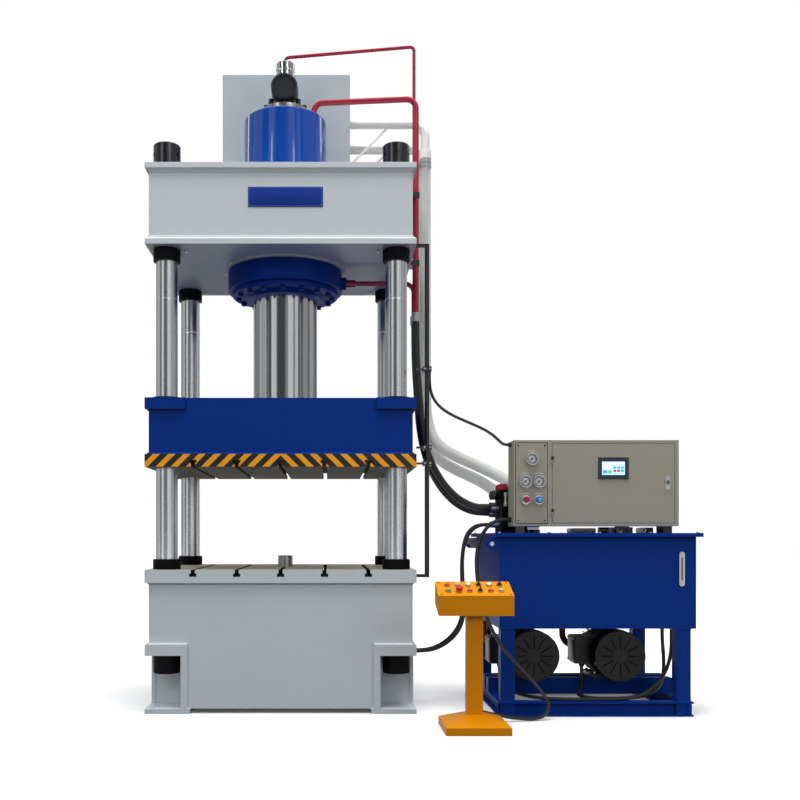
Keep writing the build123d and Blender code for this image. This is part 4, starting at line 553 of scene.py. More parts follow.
def screws(name, places, facing, material, radius, height, sides=16, socket=0.5):
    """Screw heads on a set of points, all facing one way, each with a sunk socket."""
    points = bpy.data.meshes.new(name)
    points.from_pydata(places, [], [])
    sizes = {
        "Head Radius": radius, "Head Height": height, "Sides": sides, "Socket Share": socket,
        "Facing": facing,
    }
    return node_mesh(name, head_tree, points, sizes, material)


eye_sunk = 0.012
eye_outer_x, eye_rows, eye_inner_x, eye_inner_y = 0.67, (-0.517, 0.57), 0.455, 0.03
eye_places = [(side * eye_outer_x, y) for side in (-1, 1) for y in eye_rows]
eye_places += [(-eye_inner_x, eye_inner_y), (eye_inner_x, eye_inner_y)]
eye_spots = [(x, y, cross_low.z + eye_sunk) for x, y in eye_places]
screws(
    "eye_plugs", eye_spots, (0, 0, -1), ground_steel, radius=0.013, height=0.014, socket=0.4,
)
plate_enamel = enamel("blue_plate_enamel", "#0F3494", roughness=0.4, peel=0.05, gleam=0.2)
plate_rim = enamel("plate_rim_enamel", "#5C78C4", roughness=0.3, peel=0.05)
plate_left, plate_right, plate_bottom, plate_top = -0.2245, 0.290, 3.4735, 3.6107
plate_thickness, rim_lift, rim_insets = 0.004, 0.0003, (0.006, 0.0085)
plate_face = -wall_y - plate_thickness
plate_low, plate_high = (plate_left, plate_face, plate_bottom), (plate_right, -wall_y, plate_top)
slab("name_plate", plate_low, plate_high, plate_enamel, ease=0.0008)
rim_form = bmesh.new()
for inset in rim_insets:
    left, right = plate_left + inset, plate_right - inset
    bottom, top = plate_bottom + inset, plate_top - inset
    for x, z in ((left, bottom), (right, bottom), (right, top), (left, top)):
        rim_form.verts.new((x, plate_face - rim_lift, z))
rim_form.verts.ensure_lookup_table()
for i in range(4):
    j = (i + 1) % 4
    rim_form.faces.new([rim_form.verts[k] for k in (i, j, 4 + j, 4 + i)])
fixed(made_of(rim_form, "name_plate_rim", [plate_rim]))
rod_steel = machined_steel("bright_bar_steel", "#B4B6B8", roughness=0.28, lay=(250.0, 250.0, 6.0))
pin_margin, pin_drop = 0.0125, 0.0127
pin_columns = (plate_left + pin_margin, plate_right - pin_margin)
pin_rows = (plate_bottom + pin_margin, plate_top - pin_drop)
plate_pins = [(x, plate_face, z) for x in pin_columns for z in pin_rows]
screws(
    "name_plate_rivets", plate_pins, (0, -1, 0), rod_steel,
    radius=0.0045, height=0.0025, socket=0.3,
)

# Main cylinder: a forged barrel sprayed glossy blue, hung in the crosshead by its shoulder.
# The shoulder and the bolted gland under it are a deeper blue; the gland's bolts are painted over.
cylinder_enamel = enamel("bright_blue_enamel", "#083E92", roughness=0.10, peel=0.06, gleam=0.5)
blue_enamel = enamel("deep_blue_enamel", "#0B358E", roughness=0.42, gleam=0.07)
cylinder_low, cylinder_high = span("main_cylinder")
barrel_foot, barrel_top, shoulder_top = cylinder_low.z, cylinder_high.z, cross_low.z
barrel_radius, barrel_bore, shoulder_radius, shoulder_chamfer = 0.3085, 0.2425, 0.428, 0.004
crown_steps = [(0.0, 0.012), (0.002, 0.006), (0.008, 0.0)]
paint_line = shoulder_top + 0.008
barrel_profile = [
    (barrel_bore, barrel_foot), (shoulder_radius - shoulder_chamfer, barrel_foot),
    (shoulder_radius, barrel_foot + shoulder_chamfer), (shoulder_radius, shoulder_top - shoulder_chamfer),
    (shoulder_radius - shoulder_chamfer, shoulder_top), (barrel_radius, shoulder_top),
]
barrel_profile += [(barrel_radius - inset, barrel_top - drop) for inset, drop in crown_steps]
barrel_profile.append((0, barrel_top))
barrel = turned(
    "cylinder_barrel", barrel_profile, [stood(0, 0)], [cylinder_enamel, blue_enamel],
    steps=144, choose=lambda at: int(at.z < paint_line),
)
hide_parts("main_cylinder")
port_radius, port_root, port_chamfer = 0.046, 0.390, 0.003
port_frame = stood(0, 0, (barrel_foot + shoulder_top) / 2, (1, 0, 0))
port_profile = bar(port_radius, port_root, cylinder_high.x, port_chamfer)
turned("return_port_boss", port_profile, [port_frame], [blue_enamel])
gland_low, gland_high = span("gland_ring")
gland_radius, gland_bore, gland_flange, gland_edge = 0.395, 0.2405, 0.034, 0.002
nose_root, nose_radius, nose_tip, nose_edge = 0.311, 0.286, 0.284, 0.001
gland_face = gland_high.z - gland_flange
gland_profile = [
    (gland_bore, gland_high.z), (gland_radius, gland_high.z), (gland_radius, gland_face + gland_edge),
    (gland_radius - gland_edge, gland_face), (nose_root, gland_face), (nose_radius, gland_low.z + nose_edge),
    (nose_tip, gland_low.z), (gland_bore, gland_low.z), (gland_bore, gland_high.z),
]
gland = turned("gland_ring_turned", gland_profile, [stood(0, 0)], [blue_enamel], steps=144)
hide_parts("gland_ring")


def bolt_circle(count, radius, height):
    """Points for bolts, evenly spaced round the cylinder's axis."""
    turns = [math.tau * i / count for i in range(count)]
    return [(radius * math.cos(turn), radius * math.sin(turn), height) for turn in turns]


gland_spots = bolt_circle(16, radius=0.350, height=gland_face)
gland_heads = screws(
    "gland_screw_heads", gland_spots, (0, 0, -1), blue_enamel,
    radius=0.021, height=0.024, sides=24,
)
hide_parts("gland_bolts")

# Prefill valve: a bright flange screwed to the barrel, a black cast drum across it and a turned steel cap.
# The drum's face is sand cast, so it is rough and matt; the cap is left bright.
cast_black = enamel("cast_black_enamel", "#23252A", roughness=0.55, shade=0.6, peel=0.9)
flange_top, neck_top, drum_height, cap_foot = barrel_top + 0.091, 4.610, 4.534, 4.604
flange_radius, flange_chamfer, neck_radius, neck_chamfer = 0.1735, 0.004, 0.101, 0.008
flange_profile = bar(flange_radius, barrel_top, flange_top, flange_chamfer)
valve_flange = turned("valve_flange", flange_profile, [stood(0, 0)], [rod_steel], steps=96)
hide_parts("prefill_valve")
neck_profile = bar(neck_radius, flange_top, neck_top, neck_chamfer)
turned("valve_neck", neck_profile, [stood(0, 0)], [rod_steel])
drum_profile = [
    (0, 0.04), (0.096, 0.04), (0.098, 0.044), (0.098, 0.180), (0.095, 0.187), (0.088, 0.190),
    (0.081, 0.190), (0.079, 0.187), (0.078, 0.180), (0, 0.178),
]
drum_frame = stood(0, 0, drum_height, (0, -1, 0))
turned("valve_drum", drum_profile, [drum_frame], [cast_black], steps=80)
cap_profile = [
    (0, 0.0), (0.066, 0.0), (0.066, 0.052), (0.070, 0.056), (0.070, 0.104), (0.0655, 0.110),
    (0.0655, 0.118), (0.070, 0.124), (0.070, 0.174), (0.062, 0.182), (0.020, 0.182), (0.020, 0.202),
    (0.014, 0.206), (0, 0.206),
]
turned("valve_cap", cap_profile, [stood(0, 0, cap_foot)], [hard_chrome], steps=80)
flange_spots = bolt_circle(8, radius=0.1425, height=flange_top)
screws(
    "valve_screws", flange_spots, (0, 0, 1), black_oxide,
    radius=0.020, height=0.046, sides=24,
)

# Prefill tank and overflow pipes: a seam-welded sheet box with a screwed hatch behind, and bent pipe, all
# sprayed pale grey.
# Each pipe ends in a collar that carries its hose, with two worm-drive bands round it.
pale_enamel = enamel("pale_grey_enamel", "#EBEAE4", roughness=0.42, shade=0.9)
tank_enamel = enamel("tank_grey_enamel", "#ACB6BC", roughness=0.42, shade=0.88)
dress("prefill_tank", 2.0, [tank_enamel])
dress("overflow_pipes", 0, [pale_enamel])
zinc_plate = machined_steel("zinc_plated_steel", "#C3C6C9", roughness=0.3, lay=(60.0, 60.0, 60.0))
tank_back = span("prefill_tank")[1].y
hatch_left, hatch_right, hatch_bottom, hatch_top = -0.21, 0.19, 4.10, 4.60
hatch_face, hatch_margin, hatch_steps = tank_back + 0.004, 0.020, 4
hatch_low, hatch_high = (hatch_left, tank_back, hatch_bottom), (hatch_right, hatch_face, hatch_top)
slab("tank_hatch", hatch_low, hatch_high, tank_enamel, ease=0.0012)
row_left, row_right = hatch_left + hatch_margin, hatch_right - hatch_margin
row_bottom, row_top = hatch_bottom + hatch_margin, hatch_top - hatch_margin
hatch_spots = []
for step in range(hatch_steps + 1):
    across = row_left + (row_right - row_left) * step / hatch_steps
    upward = row_bottom + (row_top - row_bottom) * step / hatch_steps
    hatch_spots += [(across, hatch_face, row_bottom), (across, hatch_face, row_top)]
    if 0 < step < hatch_steps:
        hatch_spots += [(row_left, hatch_face, upward), (row_right, hatch_face, upward)]
screws(
    "hatch_screws", hatch_spots, (0, 1, 0), zinc_plate,
    radius=0.008, height=0.003, sides=6, socket=0.4,
)
band_profile = [
    (0.0450, 0.0), (0.0495, 0.0), (0.0505, 0.002), (0.0505, 0.012), (0.0495, 0.014), (0.0450, 0.014),
    (0.0450, 0.0),
]
pipe_ends, pipe_band_heights = ((1.11, 0.5), (1.10, 0.612)), (4.20, 4.235)
band_spots = [stood(x, y, z) for x, y in pipe_ends for z in pipe_band_heights]
turned("hose_bands", band_profile, band_spots, [zinc_plate], steps=48)

# Oil tubes: seamless steel tube, bent cold and sprayed red, with zinc-plated nuts and swaged ends.
# Black two-bolt clamps hold them to the crosshead's flanges.
red_enamel = enamel("red_enamel", "#A5203A", roughness=0.22, peel=0.1)
swage_top = span("oil_tubes")[0].z + 0.068
dress("oil_tubes", 0, [red_enamel, zinc_plate], lambda at, up: int(at.z < swage_top))
dress("tube_clamps", 2.0, [black_oxide])
clamp_low, clamp_high = span("tube_clamps")
clamp_half = 0.020
clamp_rows = (clamp_low.z + clamp_half, clamp_high.z - clamp_half)
clamp_spots = [(clamp_high.x, y, z) for y in (-0.138, -0.092, -0.046) for z in clamp_rows]
screws("clamp_screws", clamp_spots, (1, 0, 0), zinc_plate, radius=0.007, height=0.006)

# Slide: a welded box sprayed deep blue. Its lower plate is striped orange and black, and bare underneath,
# where the underside and its slots are painted a dark steel as painted shade.
# The stripes lean towards the middle from both sides and are brushed on over a mask.
hazard_paint = enamel("hazard_stripe_enamel", "#FFAC0A", roughness=0.4)
stripe_pitch, stripe_width = 0.104, 0.049
stripe_tree = hazard_paint.node_tree
stripe_at = put(stripe_tree, "ShaderNodeTexCoord").outputs["Object"]
stripe_place = put(stripe_tree, "ShaderNodeSeparateXYZ", {0: stripe_at}).outputs
stripe_normal = put(stripe_tree, "ShaderNodeNewGeometry").outputs["True Normal"]
stripe_face = put(stripe_tree, "ShaderNodeSeparateXYZ", {0: stripe_normal}).outputs
stripe_side = put(stripe_tree, "ShaderNodeMath", {0: stripe_face["X"]}, operation="ABSOLUTE")
stripe_turn = {0: stripe_side.outputs[0], 1: 0.6}
stripe_which = put(stripe_tree, "ShaderNodeMath", stripe_turn, operation="GREATER_THAN")
stripe_run = put(stripe_tree, "ShaderNodeMix", {
    0: stripe_which.outputs[0], 2: stripe_place["X"], 3: stripe_place["Y"],
})
stripe_out = put(stripe_tree, "ShaderNodeMath", {0: stripe_run.outputs[0]}, operation="ABSOLUTE")
stripe_slope = {0: stripe_out.outputs[0], 1: stripe_place["Z"]}
stripe_lean = put(stripe_tree, "ShaderNodeMath", stripe_slope, operation="ADD")
stripe_step = {0: stripe_lean.outputs[0], 1: stripe_pitch}
stripe_wrap = put(stripe_tree, "ShaderNodeMath", stripe_step, operation="FLOORED_MODULO")
stripe_rest = {0: stripe_wrap.outputs[0], 1: stripe_width}
stripe_edge = put(stripe_tree, "ShaderNodeMath", stripe_rest, operation="GREATER_THAN")
stripe_base = stripe_tree.nodes["Principled BSDF"].inputs["Base Color"]
stripe_tones = {0: stripe_edge.outputs[0], 6: stripe_base.links[0].from_socket, 7: srgb("#1A1B1F")}
stripe_mix = put(stripe_tree, "ShaderNodeMix", stripe_tones, data_type="RGBA")
stripe_tree.links.new(stripe_mix.outputs[2], stripe_base)
slide_low = span("slide")[0]
slide_plate, slide_slot = 0.088, 0.060


# Downward faces and slot faces take the dark steel: painted shade.
def slide_finish(at, up):
    in_slot = at.z < slide_low.z + slide_slot and abs(up.x) > 0.5 and abs(at.x) < slots_reach
    if up.z < -0.5 or in_slot:
        return 2
    return int(at.z < slide_low.z + slide_plate + 0.001 and abs(up.z) < 0.5)


dress("slide", 3.0, [blue_enamel, hazard_paint, slot_shade_steel], slide_finish)
slide_seams = [seam for side in (-1, 1) for seam in girth(side, slide_low.z + slide_plate)]
weld("slide_welds", slide_seams, blue_enamel, throat=0.013, body="slide_body")
dress("slide_bushes", 1.0, [dull_black])

# Limit rod: a blackened bar on two arms, with clamped switches that feel where the slide is.
# Each clamp is a split block with two socket screws, and carries a feeler arm.
dress("limit_rod", 1.0, [black_oxide])
dress("limit_switches", 2.0, [black_oxide])
switch_face, switch_x, switch_screw_half, switch_half = span("limit_switches")[0].y, 1.015, 0.019, 0.017
switch_columns = (switch_x - switch_screw_half, switch_x + switch_screw_half)
switch_feet = (1.706, 1.817, 2.362)
switch_spots = [(x, switch_face, foot + switch_half) for foot in switch_feet for x in switch_columns]
screws("switch_screws", switch_spots, (0, -1, 0), zinc_plate, radius=0.007, height=0.006)

# Ejector: a ground rod through the table, worked by a cylinder inside the bed.
# Two plated hose unions come out of the bed's side.
dress("ejector_cylinder", 0, [zinc_plate])
dress("ejector_rod", 0, [rod_steel])

# Power unit: a stand of rolled beams and square tube, an oil tank of folded plate and its bolted lid, all
# deep blue.
# The tank's ears carry bright pins; the lid has a filler cap and two hose tails.
dress("stand", 2.0, [blue_enamel])
stand_top, leg_width, leg_foot = span("stand")[1].z, 0.095, 0.100
leg_seams = []
for left in (1.488, 2.673):
    for front in (-0.770, 0.128):
        right, back = left + leg_width, front + leg_width
        for height in (leg_foot, stand_top):
            leg_seams += [((left, y, height), (right, y, height)) for y in (front, back)]
            leg_seams += [((x, front, height), (x, back, height)) for x in (left, right)]
weld("stand_welds", leg_seams, blue_enamel, throat=0.004)
ear_pin_x, ear_pin_z, ear_pin_reach = 1.427, 1.164, 0.0155


def tank_finish(at, up):
    on_pin = abs(at.x - ear_pin_x) < ear_pin_reach and abs(at.z - ear_pin_z) < ear_pin_reach
    return int(on_pin or at.z < stand_top - 0.001)


dress("oil_tank", 2.0, [blue_enamel, zinc_plate], tank_finish)
lid_low, lid_high = span("tank_lid")
lid_top = lid_low.z + 0.027
dress("tank_lid", 2.0, [blue_enamel, black_oxide], lambda at, up: int(at.z > lid_top + 0.0005))
lid_columns, lid_rows = (1.475, 1.81, 2.15, 2.49, 2.81), (-0.785, 0.245)
lid_spots = [(x, y, lid_top) for x in lid_columns for y in lid_rows]
screws("lid_screws", lid_spots, (0, 0, 1), zinc_plate, radius=0.011, height=0.007, sides=6)
filler_profile = [(0, 0.0), (0.052, 0.0), (0.055, 0.003), (0.055, 0.017), (0.048, 0.023), (0, 0.023)]
filler_x, filler_y = 2.56, 0.04
filler_frame = stood(filler_x, filler_y, lid_high.z)
turned("filler_cap", filler_profile, [filler_frame], [black_oxide], steps=48)
tail_ends, tail_band_heights = ((1.9, 0.11), (1.745, 0.19)), (1.285, 1.315)
tail_spots = [stood(x, y, z) for x, y in tail_ends for z in tail_band_heights]
turned("tail_bands", band_profile, tail_spots, [zinc_plate], steps=48)


# Pieces on the lid under the cabinet: a filter cover, a blanking block, a small oil cooler and a terminal
# strip.
# The cover is a cream moulding, the fins are cast aluminium and the check valves and hose eyes are plated.
def comb(name, low, high, count, material):
    """A row of thin upright plates between two corners, with gaps as wide as the plates."""
    form = bmesh.new()
    step = (high[0] - low[0]) / (2 * count - 1)
    for i in range(count):
        start = low[0] + 2 * i * step
        near, far = (start, *low[1:]), (start + step, *high[1:])
        for vert in bmesh.ops.create_cube(form, size=1.0)["verts"]:
            vert.co = Vector(h if c > 0 else l for c, l, h in zip(vert.co, near, far))
    return fixed(made_of(form, name, [material]))


cream_moulding = enamel("cream_moulding", "#E9E3CC", roughness=0.4, peel=0.1)
cast_aluminium = machined_steel("cast_aluminium", "#8F9294", roughness=0.45, lay=(90.0, 90.0, 90.0))
cover_low, cover_high = (2.04, -0.46, lid_top), (2.22, -0.34, lid_top + 0.037)
slab("filter_cover", cover_low, cover_high, cream_moulding, ease=0.008)
block_low, block_high = (2.246, -0.47, lid_top), (2.306, -0.40, lid_top + 0.042)
slab("blanking_block", block_low, block_high, black_oxide, ease=0.002)
cooler_low, cooler_high = (2.336, -0.46, lid_top), (2.478, -0.36, lid_top + 0.042)
comb("cooler_fins", cooler_low, cooler_high, 13, cast_aluminium)
strip_corner, strip_far = (2.545, -0.46, lid_top), (2.623, -0.40, lid_top + 0.040)
comb("terminal_strip", strip_corner, strip_far, 8, cast_aluminium)
check_profile = [
    (0, 0.0), (0.022, 0.0), (0.024, 0.002), (0.024, 0.016), (0.016, 0.026), (0.008, 0.030), (0, 0.030),
]
check_spots = [stood(2.377, -0.49, lid_top), stood(2.523, -0.47, lid_top)]
turned("check_valves", check_profile, check_spots, [zinc_plate], steps=32)
eye_profile = [
    (0.009, -0.004), (0.017, -0.004), (0.018, 0.0), (0.017, 0.004), (0.009, 0.004), (0.009, -0.004),
]
eye_frames = [stood(x, -0.50, lid_top + 0.020, (0, -1, 0)) for x in (2.503, 2.541)]
turned("hose_eyes", eye_profile, eye_frames, [zinc_plate], steps=32)

# Level gauge: a zinc die casting on two banjo screws.
# Its sight glass is half full of amber oil.
dress("level_gauge", 1.5, [zinc_plate])
sight_glass = enamel("sight_glass", "#6E7674", roughness=0.08, peel=0.0)
oil_amber = enamel("amber_oil", "#7C7050", roughness=0.08, peel=0.0)
level_low, level_high = span("level_gauge")
level_x, level_face, level_screw_margin = (level_low.x + level_high.x) / 2, level_low.y, 0.018
glass_half, glass_low, glass_high = 0.0065, 0.918, 1.072
oil_half, oil_low, oil_high = 0.005, 0.92, 1.01
slab(
    "sight_tube", (level_x - glass_half, level_face - 0.0015, glass_low),
    (level_x + glass_half, level_face + 0.001, glass_high), sight_glass,
)
slab(
    "sight_oil", (level_x - oil_half, level_face - 0.0022, oil_low),
    (level_x + oil_half, level_face - 0.001, oil_high), oil_amber, ease=0.0004,
)
level_rows = (level_low.z + level_screw_margin, level_high.z - level_screw_margin)
gauge_pins = [(level_x, level_face, z) for z in level_rows]
screws(
    "level_screws", gauge_pins, (0, -1, 0), zinc_plate, radius=0.010, height=0.006, sides=6,
)

# Motors: ribbed cast frames under black enamel, with a pressed fan cover on the front and a pump behind.
# The suction pipes that come down from the tank are sprayed red, in a lighter copy of the tubes' red that is
# painted light against the shade under the tank.
motor_enamel = enamel("black_motor_enamel", "#08090B", roughness=0.36, shade=0.8, peel=0.5, gleam=0.22)
fan_plastic = enamel("fan_moulding", "#060607", roughness=0.6, peel=0.0, gleam=0.1)
dress("motor_frames", 0, [motor_enamel])
dress("fan_covers", 0, [motor_enamel])
dress("pumps", 0, [cast_black])
# A lighter red than the oil tubes' red: painted light that makes up for the shade under the tank.
suction_red_painted_light = enamel("red_enamel_painted_light", "#C01E3C", roughness=0.26, peel=0.1)
dress("suction_pipes", 0, [suction_red_painted_light])
for rotor_node in ("motor_rotor_left", "motor_rotor_right"):
    dress(rotor_node, 0, [fan_plastic])
motor_columns, motor_axis = (1.756, 2.354), 0.382
cowl_profile = [
    (0.160, -0.001), (0.171, -0.001), (0.1765, 0.004), (0.1765, 0.112), (0.1785, 0.116), (0.1785, 0.122),
    (0.1755, 0.122), (0.1755, 0.006), (0.171, 0.0012), (0.160, 0.0012), (0.160, -0.001),
]
cowl_face = span("fan_covers")[0].y - 0.0005
cowl_spots = [stood(x, cowl_face, motor_axis, (0, 1, 0)) for x in motor_columns]
turned("cowl_skirts", cowl_profile, cowl_spots, [motor_enamel], steps=72)


def washer(inner, outer, low, high):
    """The profile of a flat ring, or of a disc where it has no hole."""
    return [(inner, low), (outer, low), (outer, high), (inner, high), (inner, low)]


wire_first, wire_pitch, wire_thickness = 0.060, 0.018, 0.004
for number in range(6):
    wire_inner = wire_first + wire_pitch * number
    wire = washer(wire_inner, wire_inner + wire_thickness, -wire_thickness / 2, wire_thickness / 2)
    turned(f"cowl_wire_{number}", wire, cowl_spots, [motor_enamel], steps=48)
gauze_radius, gauze_front, gauze_back = 0.168, 0.0062, 0.0072
gauze = washer(0, gauze_radius, gauze_front, gauze_back)
turned("cowl_gauze", gauze, cowl_spots, [fan_plastic], steps=48)
box_reach, lid_lift, lid_lap = 0.277, 0.008, 0.004
box_front, box_back, box_bottom, box_top = -0.432, -0.254, 0.3165, 0.4975
box_margin_y, box_margin_z = 0.011, 0.0115
box_rows = (box_front + box_margin_y, box_back - box_margin_y)
box_heights = (box_bottom + box_margin_z, box_top - box_margin_z)
box_pins = []
for motor_x in motor_columns:
    box_side = motor_x - box_reach
    box_low, box_high = (box_side - lid_lift, box_front, box_bottom), (box_side + lid_lap, box_back, box_top)
    slab(f"terminal_lid_{len(box_pins)}", box_low, box_high, motor_enamel, ease=0.003)
    box_pins += [(box_side - lid_lift, y, z) for y in box_rows for z in box_heights]
screws("terminal_screws", box_pins, (-1, 0, 0), zinc_plate, radius=0.006, height=0.004)
foot_half, foot_rows, foot_top = 0.120, (-0.358, -0.158), 0.232
foot_columns = [x + dx for x in motor_columns for dx in (-foot_half, foot_half)]
foot_bolts = [(x, y, foot_top) for x in foot_columns for y in foot_rows]
screws("foot_bolts", foot_bolts, (0, 0, 1), zinc_plate, radius=0.012, height=0.010, sides=6)

# Valve block: a black manifold with solenoid coils under red plugs, and plated hose unions on its left face.
# Two plated pressure cartridges stand on a small seat in front of it.
union_face = 1.559
union_spots = [(-0.280, 1.421, 0.052), (-0.195, 1.385, 0.045), (-0.335, 1.300, 0.034), (-0.265, 1.300, 0.034)]


def block_finish(at, up):
    on_union = any(math.hypot(at.y - y, at.z - z) < reach for y, z, reach in union_spots)
    return int(at.x < union_face and on_union)


dress("valve_block", 1.0, [dull_black, zinc_plate], block_finish)
coil_first, coil_pitch, coil_face, coil_axis = -0.393, 0.074, 1.520, 1.512
coil_rows = [coil_first + coil_pitch * i for i in range(3)]
coil_profile = [
    (0, 0.0), (0.030, 0.0), (0.033, 0.003), (0.033, 0.010), (0.028, 0.015), (0.012, 0.016), (0.012, 0.021),
    (0, 0.021),
]
coil_spots = [stood(coil_face, y, coil_axis, (-1, 0, 0)) for y in coil_rows]
turned("solenoid_ends", coil_profile, coil_spots, [black_oxide], steps=40)
plug_left, plug_right, plug_half, plug_low, plug_high = 1.548, 1.606, 0.016, 1.545, 1.590
for number, y in enumerate(coil_rows):
    near, far = (plug_left, y - plug_half, plug_low), (plug_right, y + plug_half, plug_high)
    slab(f"coil_plug_{number}", near, far, red_enamel, ease=0.006)
cartridge_foot, cartridge_y = 1.425, -0.452
cartridge = [
    (0, 0.0), (0.016, 0.0), (0.016, 0.022), (0.012, 0.026), (0.012, 0.074), (0.015, 0.078), (0.015, 0.1),
    (0, 0.1),
]
cartridge_spots = [stood(x, cartridge_y, cartridge_foot) for x in (1.582, 1.640)]
turned("pressure_cartridges", cartridge, cartridge_spots, [zinc_plate], steps=32)
seat_low, seat_high = (1.565, -0.472, 1.40), (1.70, -0.428, 1.427)
slab("cartridge_seat", seat_low, seat_high, dull_black, ease=0.002)

# Control cabinet: a folded sheet box with a hinged door and a gauge panel, powder coated beige grey.
# The coat is fine textured. Dark strips that lie in the gap round the door and round the panel are painted
# shade, standing for the gaps' shadow lines.
# The back has a screwed cover with two slotted vents.
beige_coat = enamel("beige_powder_coat", "#A19E90", roughness=0.5, shade=0.96, peel=0.6)
cabinet_low, cabinet_high = span("cabinet")
gland_length, support_height = 0.019, 0.0465


def cabinet_finish(at, up):
    return int(at.x < cabinet_low.x + gland_length or at.z < cabinet_low.z + support_height)


dress("cabinet", 1.0, [beige_coat, black_oxide], cabinet_finish)
dress("gauge_panel", 0.8, [beige_coat])
door_low, door_high = span("cabinet_door")
door_face = -0.677
lock_x, lock_z, lock_reach_x, lock_reach_z, hinge_reach = 2.644, 1.58, 0.0195, 0.05, 0.019


def door_finish(at, up):
    proud = at.y < door_face - 0.0005
    on_lock = proud and abs(at.x - lock_x) < lock_reach_x and abs(at.z - lock_z) < lock_reach_z
    on_hinge = proud and at.x < door_low.x + hinge_reach
    return 1 if on_lock else 2 * int(on_hinge)


dress("cabinet_door", 1.0, [beige_coat, zinc_plate, black_oxide], door_finish)
switchgear_face = -0.511
dress("electrical_plate", 1.0, [zinc_plate, motor_enamel], lambda at, up: int(at.y < switchgear_face))
dress("door_latch", 1.0, [hard_chrome])
# Dark strips flush in the gaps round the door and the gauge panel: painted shade for the gaps' shadow lines.
gap_shade_black = enamel("painted_gap_shade", "#1C1C1A", roughness=0.8, shade=0.8, peel=0.0, gleam=0.1)
door_shade_face, door_shade_back, door_shade_width, door_shade_clearance, gap_shade_ease = -0.6772, -0.6740, 0.0026, 0.0002, 0.0004
door_shade_left = door_low.x + 0.020
door_shade_bottom, door_shade_top = door_low.z - door_shade_width, door_high.z + door_shade_width
door_shade_edges = {
    "top": (door_shade_left, door_high.z + door_shade_clearance, door_high.x, door_shade_top),
    "bottom": (door_shade_left, door_shade_bottom, door_high.x, door_low.z - door_shade_clearance),
    "right": (door_high.x + door_shade_clearance, door_shade_bottom, door_high.x + door_shade_width, door_shade_top),
}
for edge, (left, bottom, right, top) in door_shade_edges.items():
    near, far = (left, door_shade_face, bottom), (right, door_shade_back, top)
    slab(f"door_gap_shade_{edge}", near, far, gap_shade_black, ease=gap_shade_ease)
# The dark frame round the gauge panel paints the shadow line of its gap.
panel_low, panel_high = span("gauge_panel")
panel_shade_width, panel_shade_face = 0.004, panel_low.y + 0.0015
panel_shade_left, panel_shade_right = panel_low.x - panel_shade_width, panel_high.x + panel_shade_width
panel_shade_bottom, panel_shade_top = panel_low.z - panel_shade_width, panel_high.z + panel_shade_width
panel_shade_edges = [
    (panel_shade_left, panel_shade_bottom, panel_low.x, panel_shade_top), (panel_high.x, panel_shade_bottom, panel_shade_right, panel_shade_top),
    (panel_low.x, panel_shade_bottom, panel_high.x, panel_low.z),
    (panel_low.x, panel_high.z, panel_high.x, panel_shade_top),
]
for number, (left, bottom, right, top) in enumerate(panel_shade_edges):
    near, far = (left, panel_shade_face, bottom), (right, door_face, top)
    slab(f"panel_gap_shade_{number}", near, far, gap_shade_black, ease=gap_shade_ease)
back_left, back_right, back_bottom, back_top, back_margin = 1.76, 2.68, 1.33, 1.83, 0.015
cabinet_back, back_face = cabinet_high.y, cabinet_high.y + 0.0025
back_low, back_high = (back_left, cabinet_back, back_bottom), (back_right, back_face, back_top)
slab("cabinet_back_panel", back_low, back_high, beige_coat, ease=0.0008)
back_columns = (back_left + back_margin, (back_left + back_right) / 2, back_right - back_margin)
back_rows = (back_bottom + back_margin, back_top - back_margin)
back_pins = [(x, back_face, z) for x in back_columns for z in back_rows]
screws(
    "back_panel_screws", back_pins, (0, 1, 0), zinc_plate,
    radius=0.006, height=0.003, socket=0.4,
)
vent_width, vent_lift, vent_bottom, vent_top = 0.24, 0.003, 1.44, 1.60
for number, vent_x in enumerate((1.87, 2.33)):
    near, far = (vent_x, back_face, vent_bottom), (vent_x + vent_width, back_face + vent_lift, vent_top)
    comb(f"cabinet_vent_{number}", near, far, 12, dull_black)
panel_margin_x, panel_margin_z = 0.015, 0.018
panel_columns = (panel_low.x + panel_margin_x, panel_high.x - panel_margin_x)
panel_rows = (panel_low.z + panel_margin_z, panel_high.z - panel_margin_z)
panel_pins = [(x, panel_low.y, z) for x in panel_columns for z in panel_rows]
screws(
    "panel_screws", panel_pins, (0, -1, 0), black_oxide,
    radius=0.0055, height=0.003, socket=0.4,
)

# Touch screen: a moulded case in the door with a lit display behind glass.
# The display shows plain fields and keys with no words on them.
case_plastic = enamel("dark_blue_case_plastic", "#232A3A", roughness=0.42, peel=0.3)
dress("touch_screen", 2.0, [case_plastic])


def lit(name, colour, strength):
    """A patch of the display, lit from behind."""
    material, _, shader = plain_material(name)
    shader.inputs["Base Color"].default_value = srgb(colour)
    shader.inputs["Roughness"].default_value = 0.1
    shader.inputs["Emission Color"].default_value = srgb(colour)
    shader.inputs["Emission Strength"].default_value = strength
    return material


display_tones = [
    lit("display_ground", "#B9DCF4", 0.75), lit("display_pale", "#EAF6FC", 0.8),
    lit("display_blue", "#4E8FD0", 0.6), lit("display_red", "#C24B62", 0.5),
    lit("display_green", "#58C08A", 0.6), lit("display_teal", "#3FAEA6", 0.6),
]
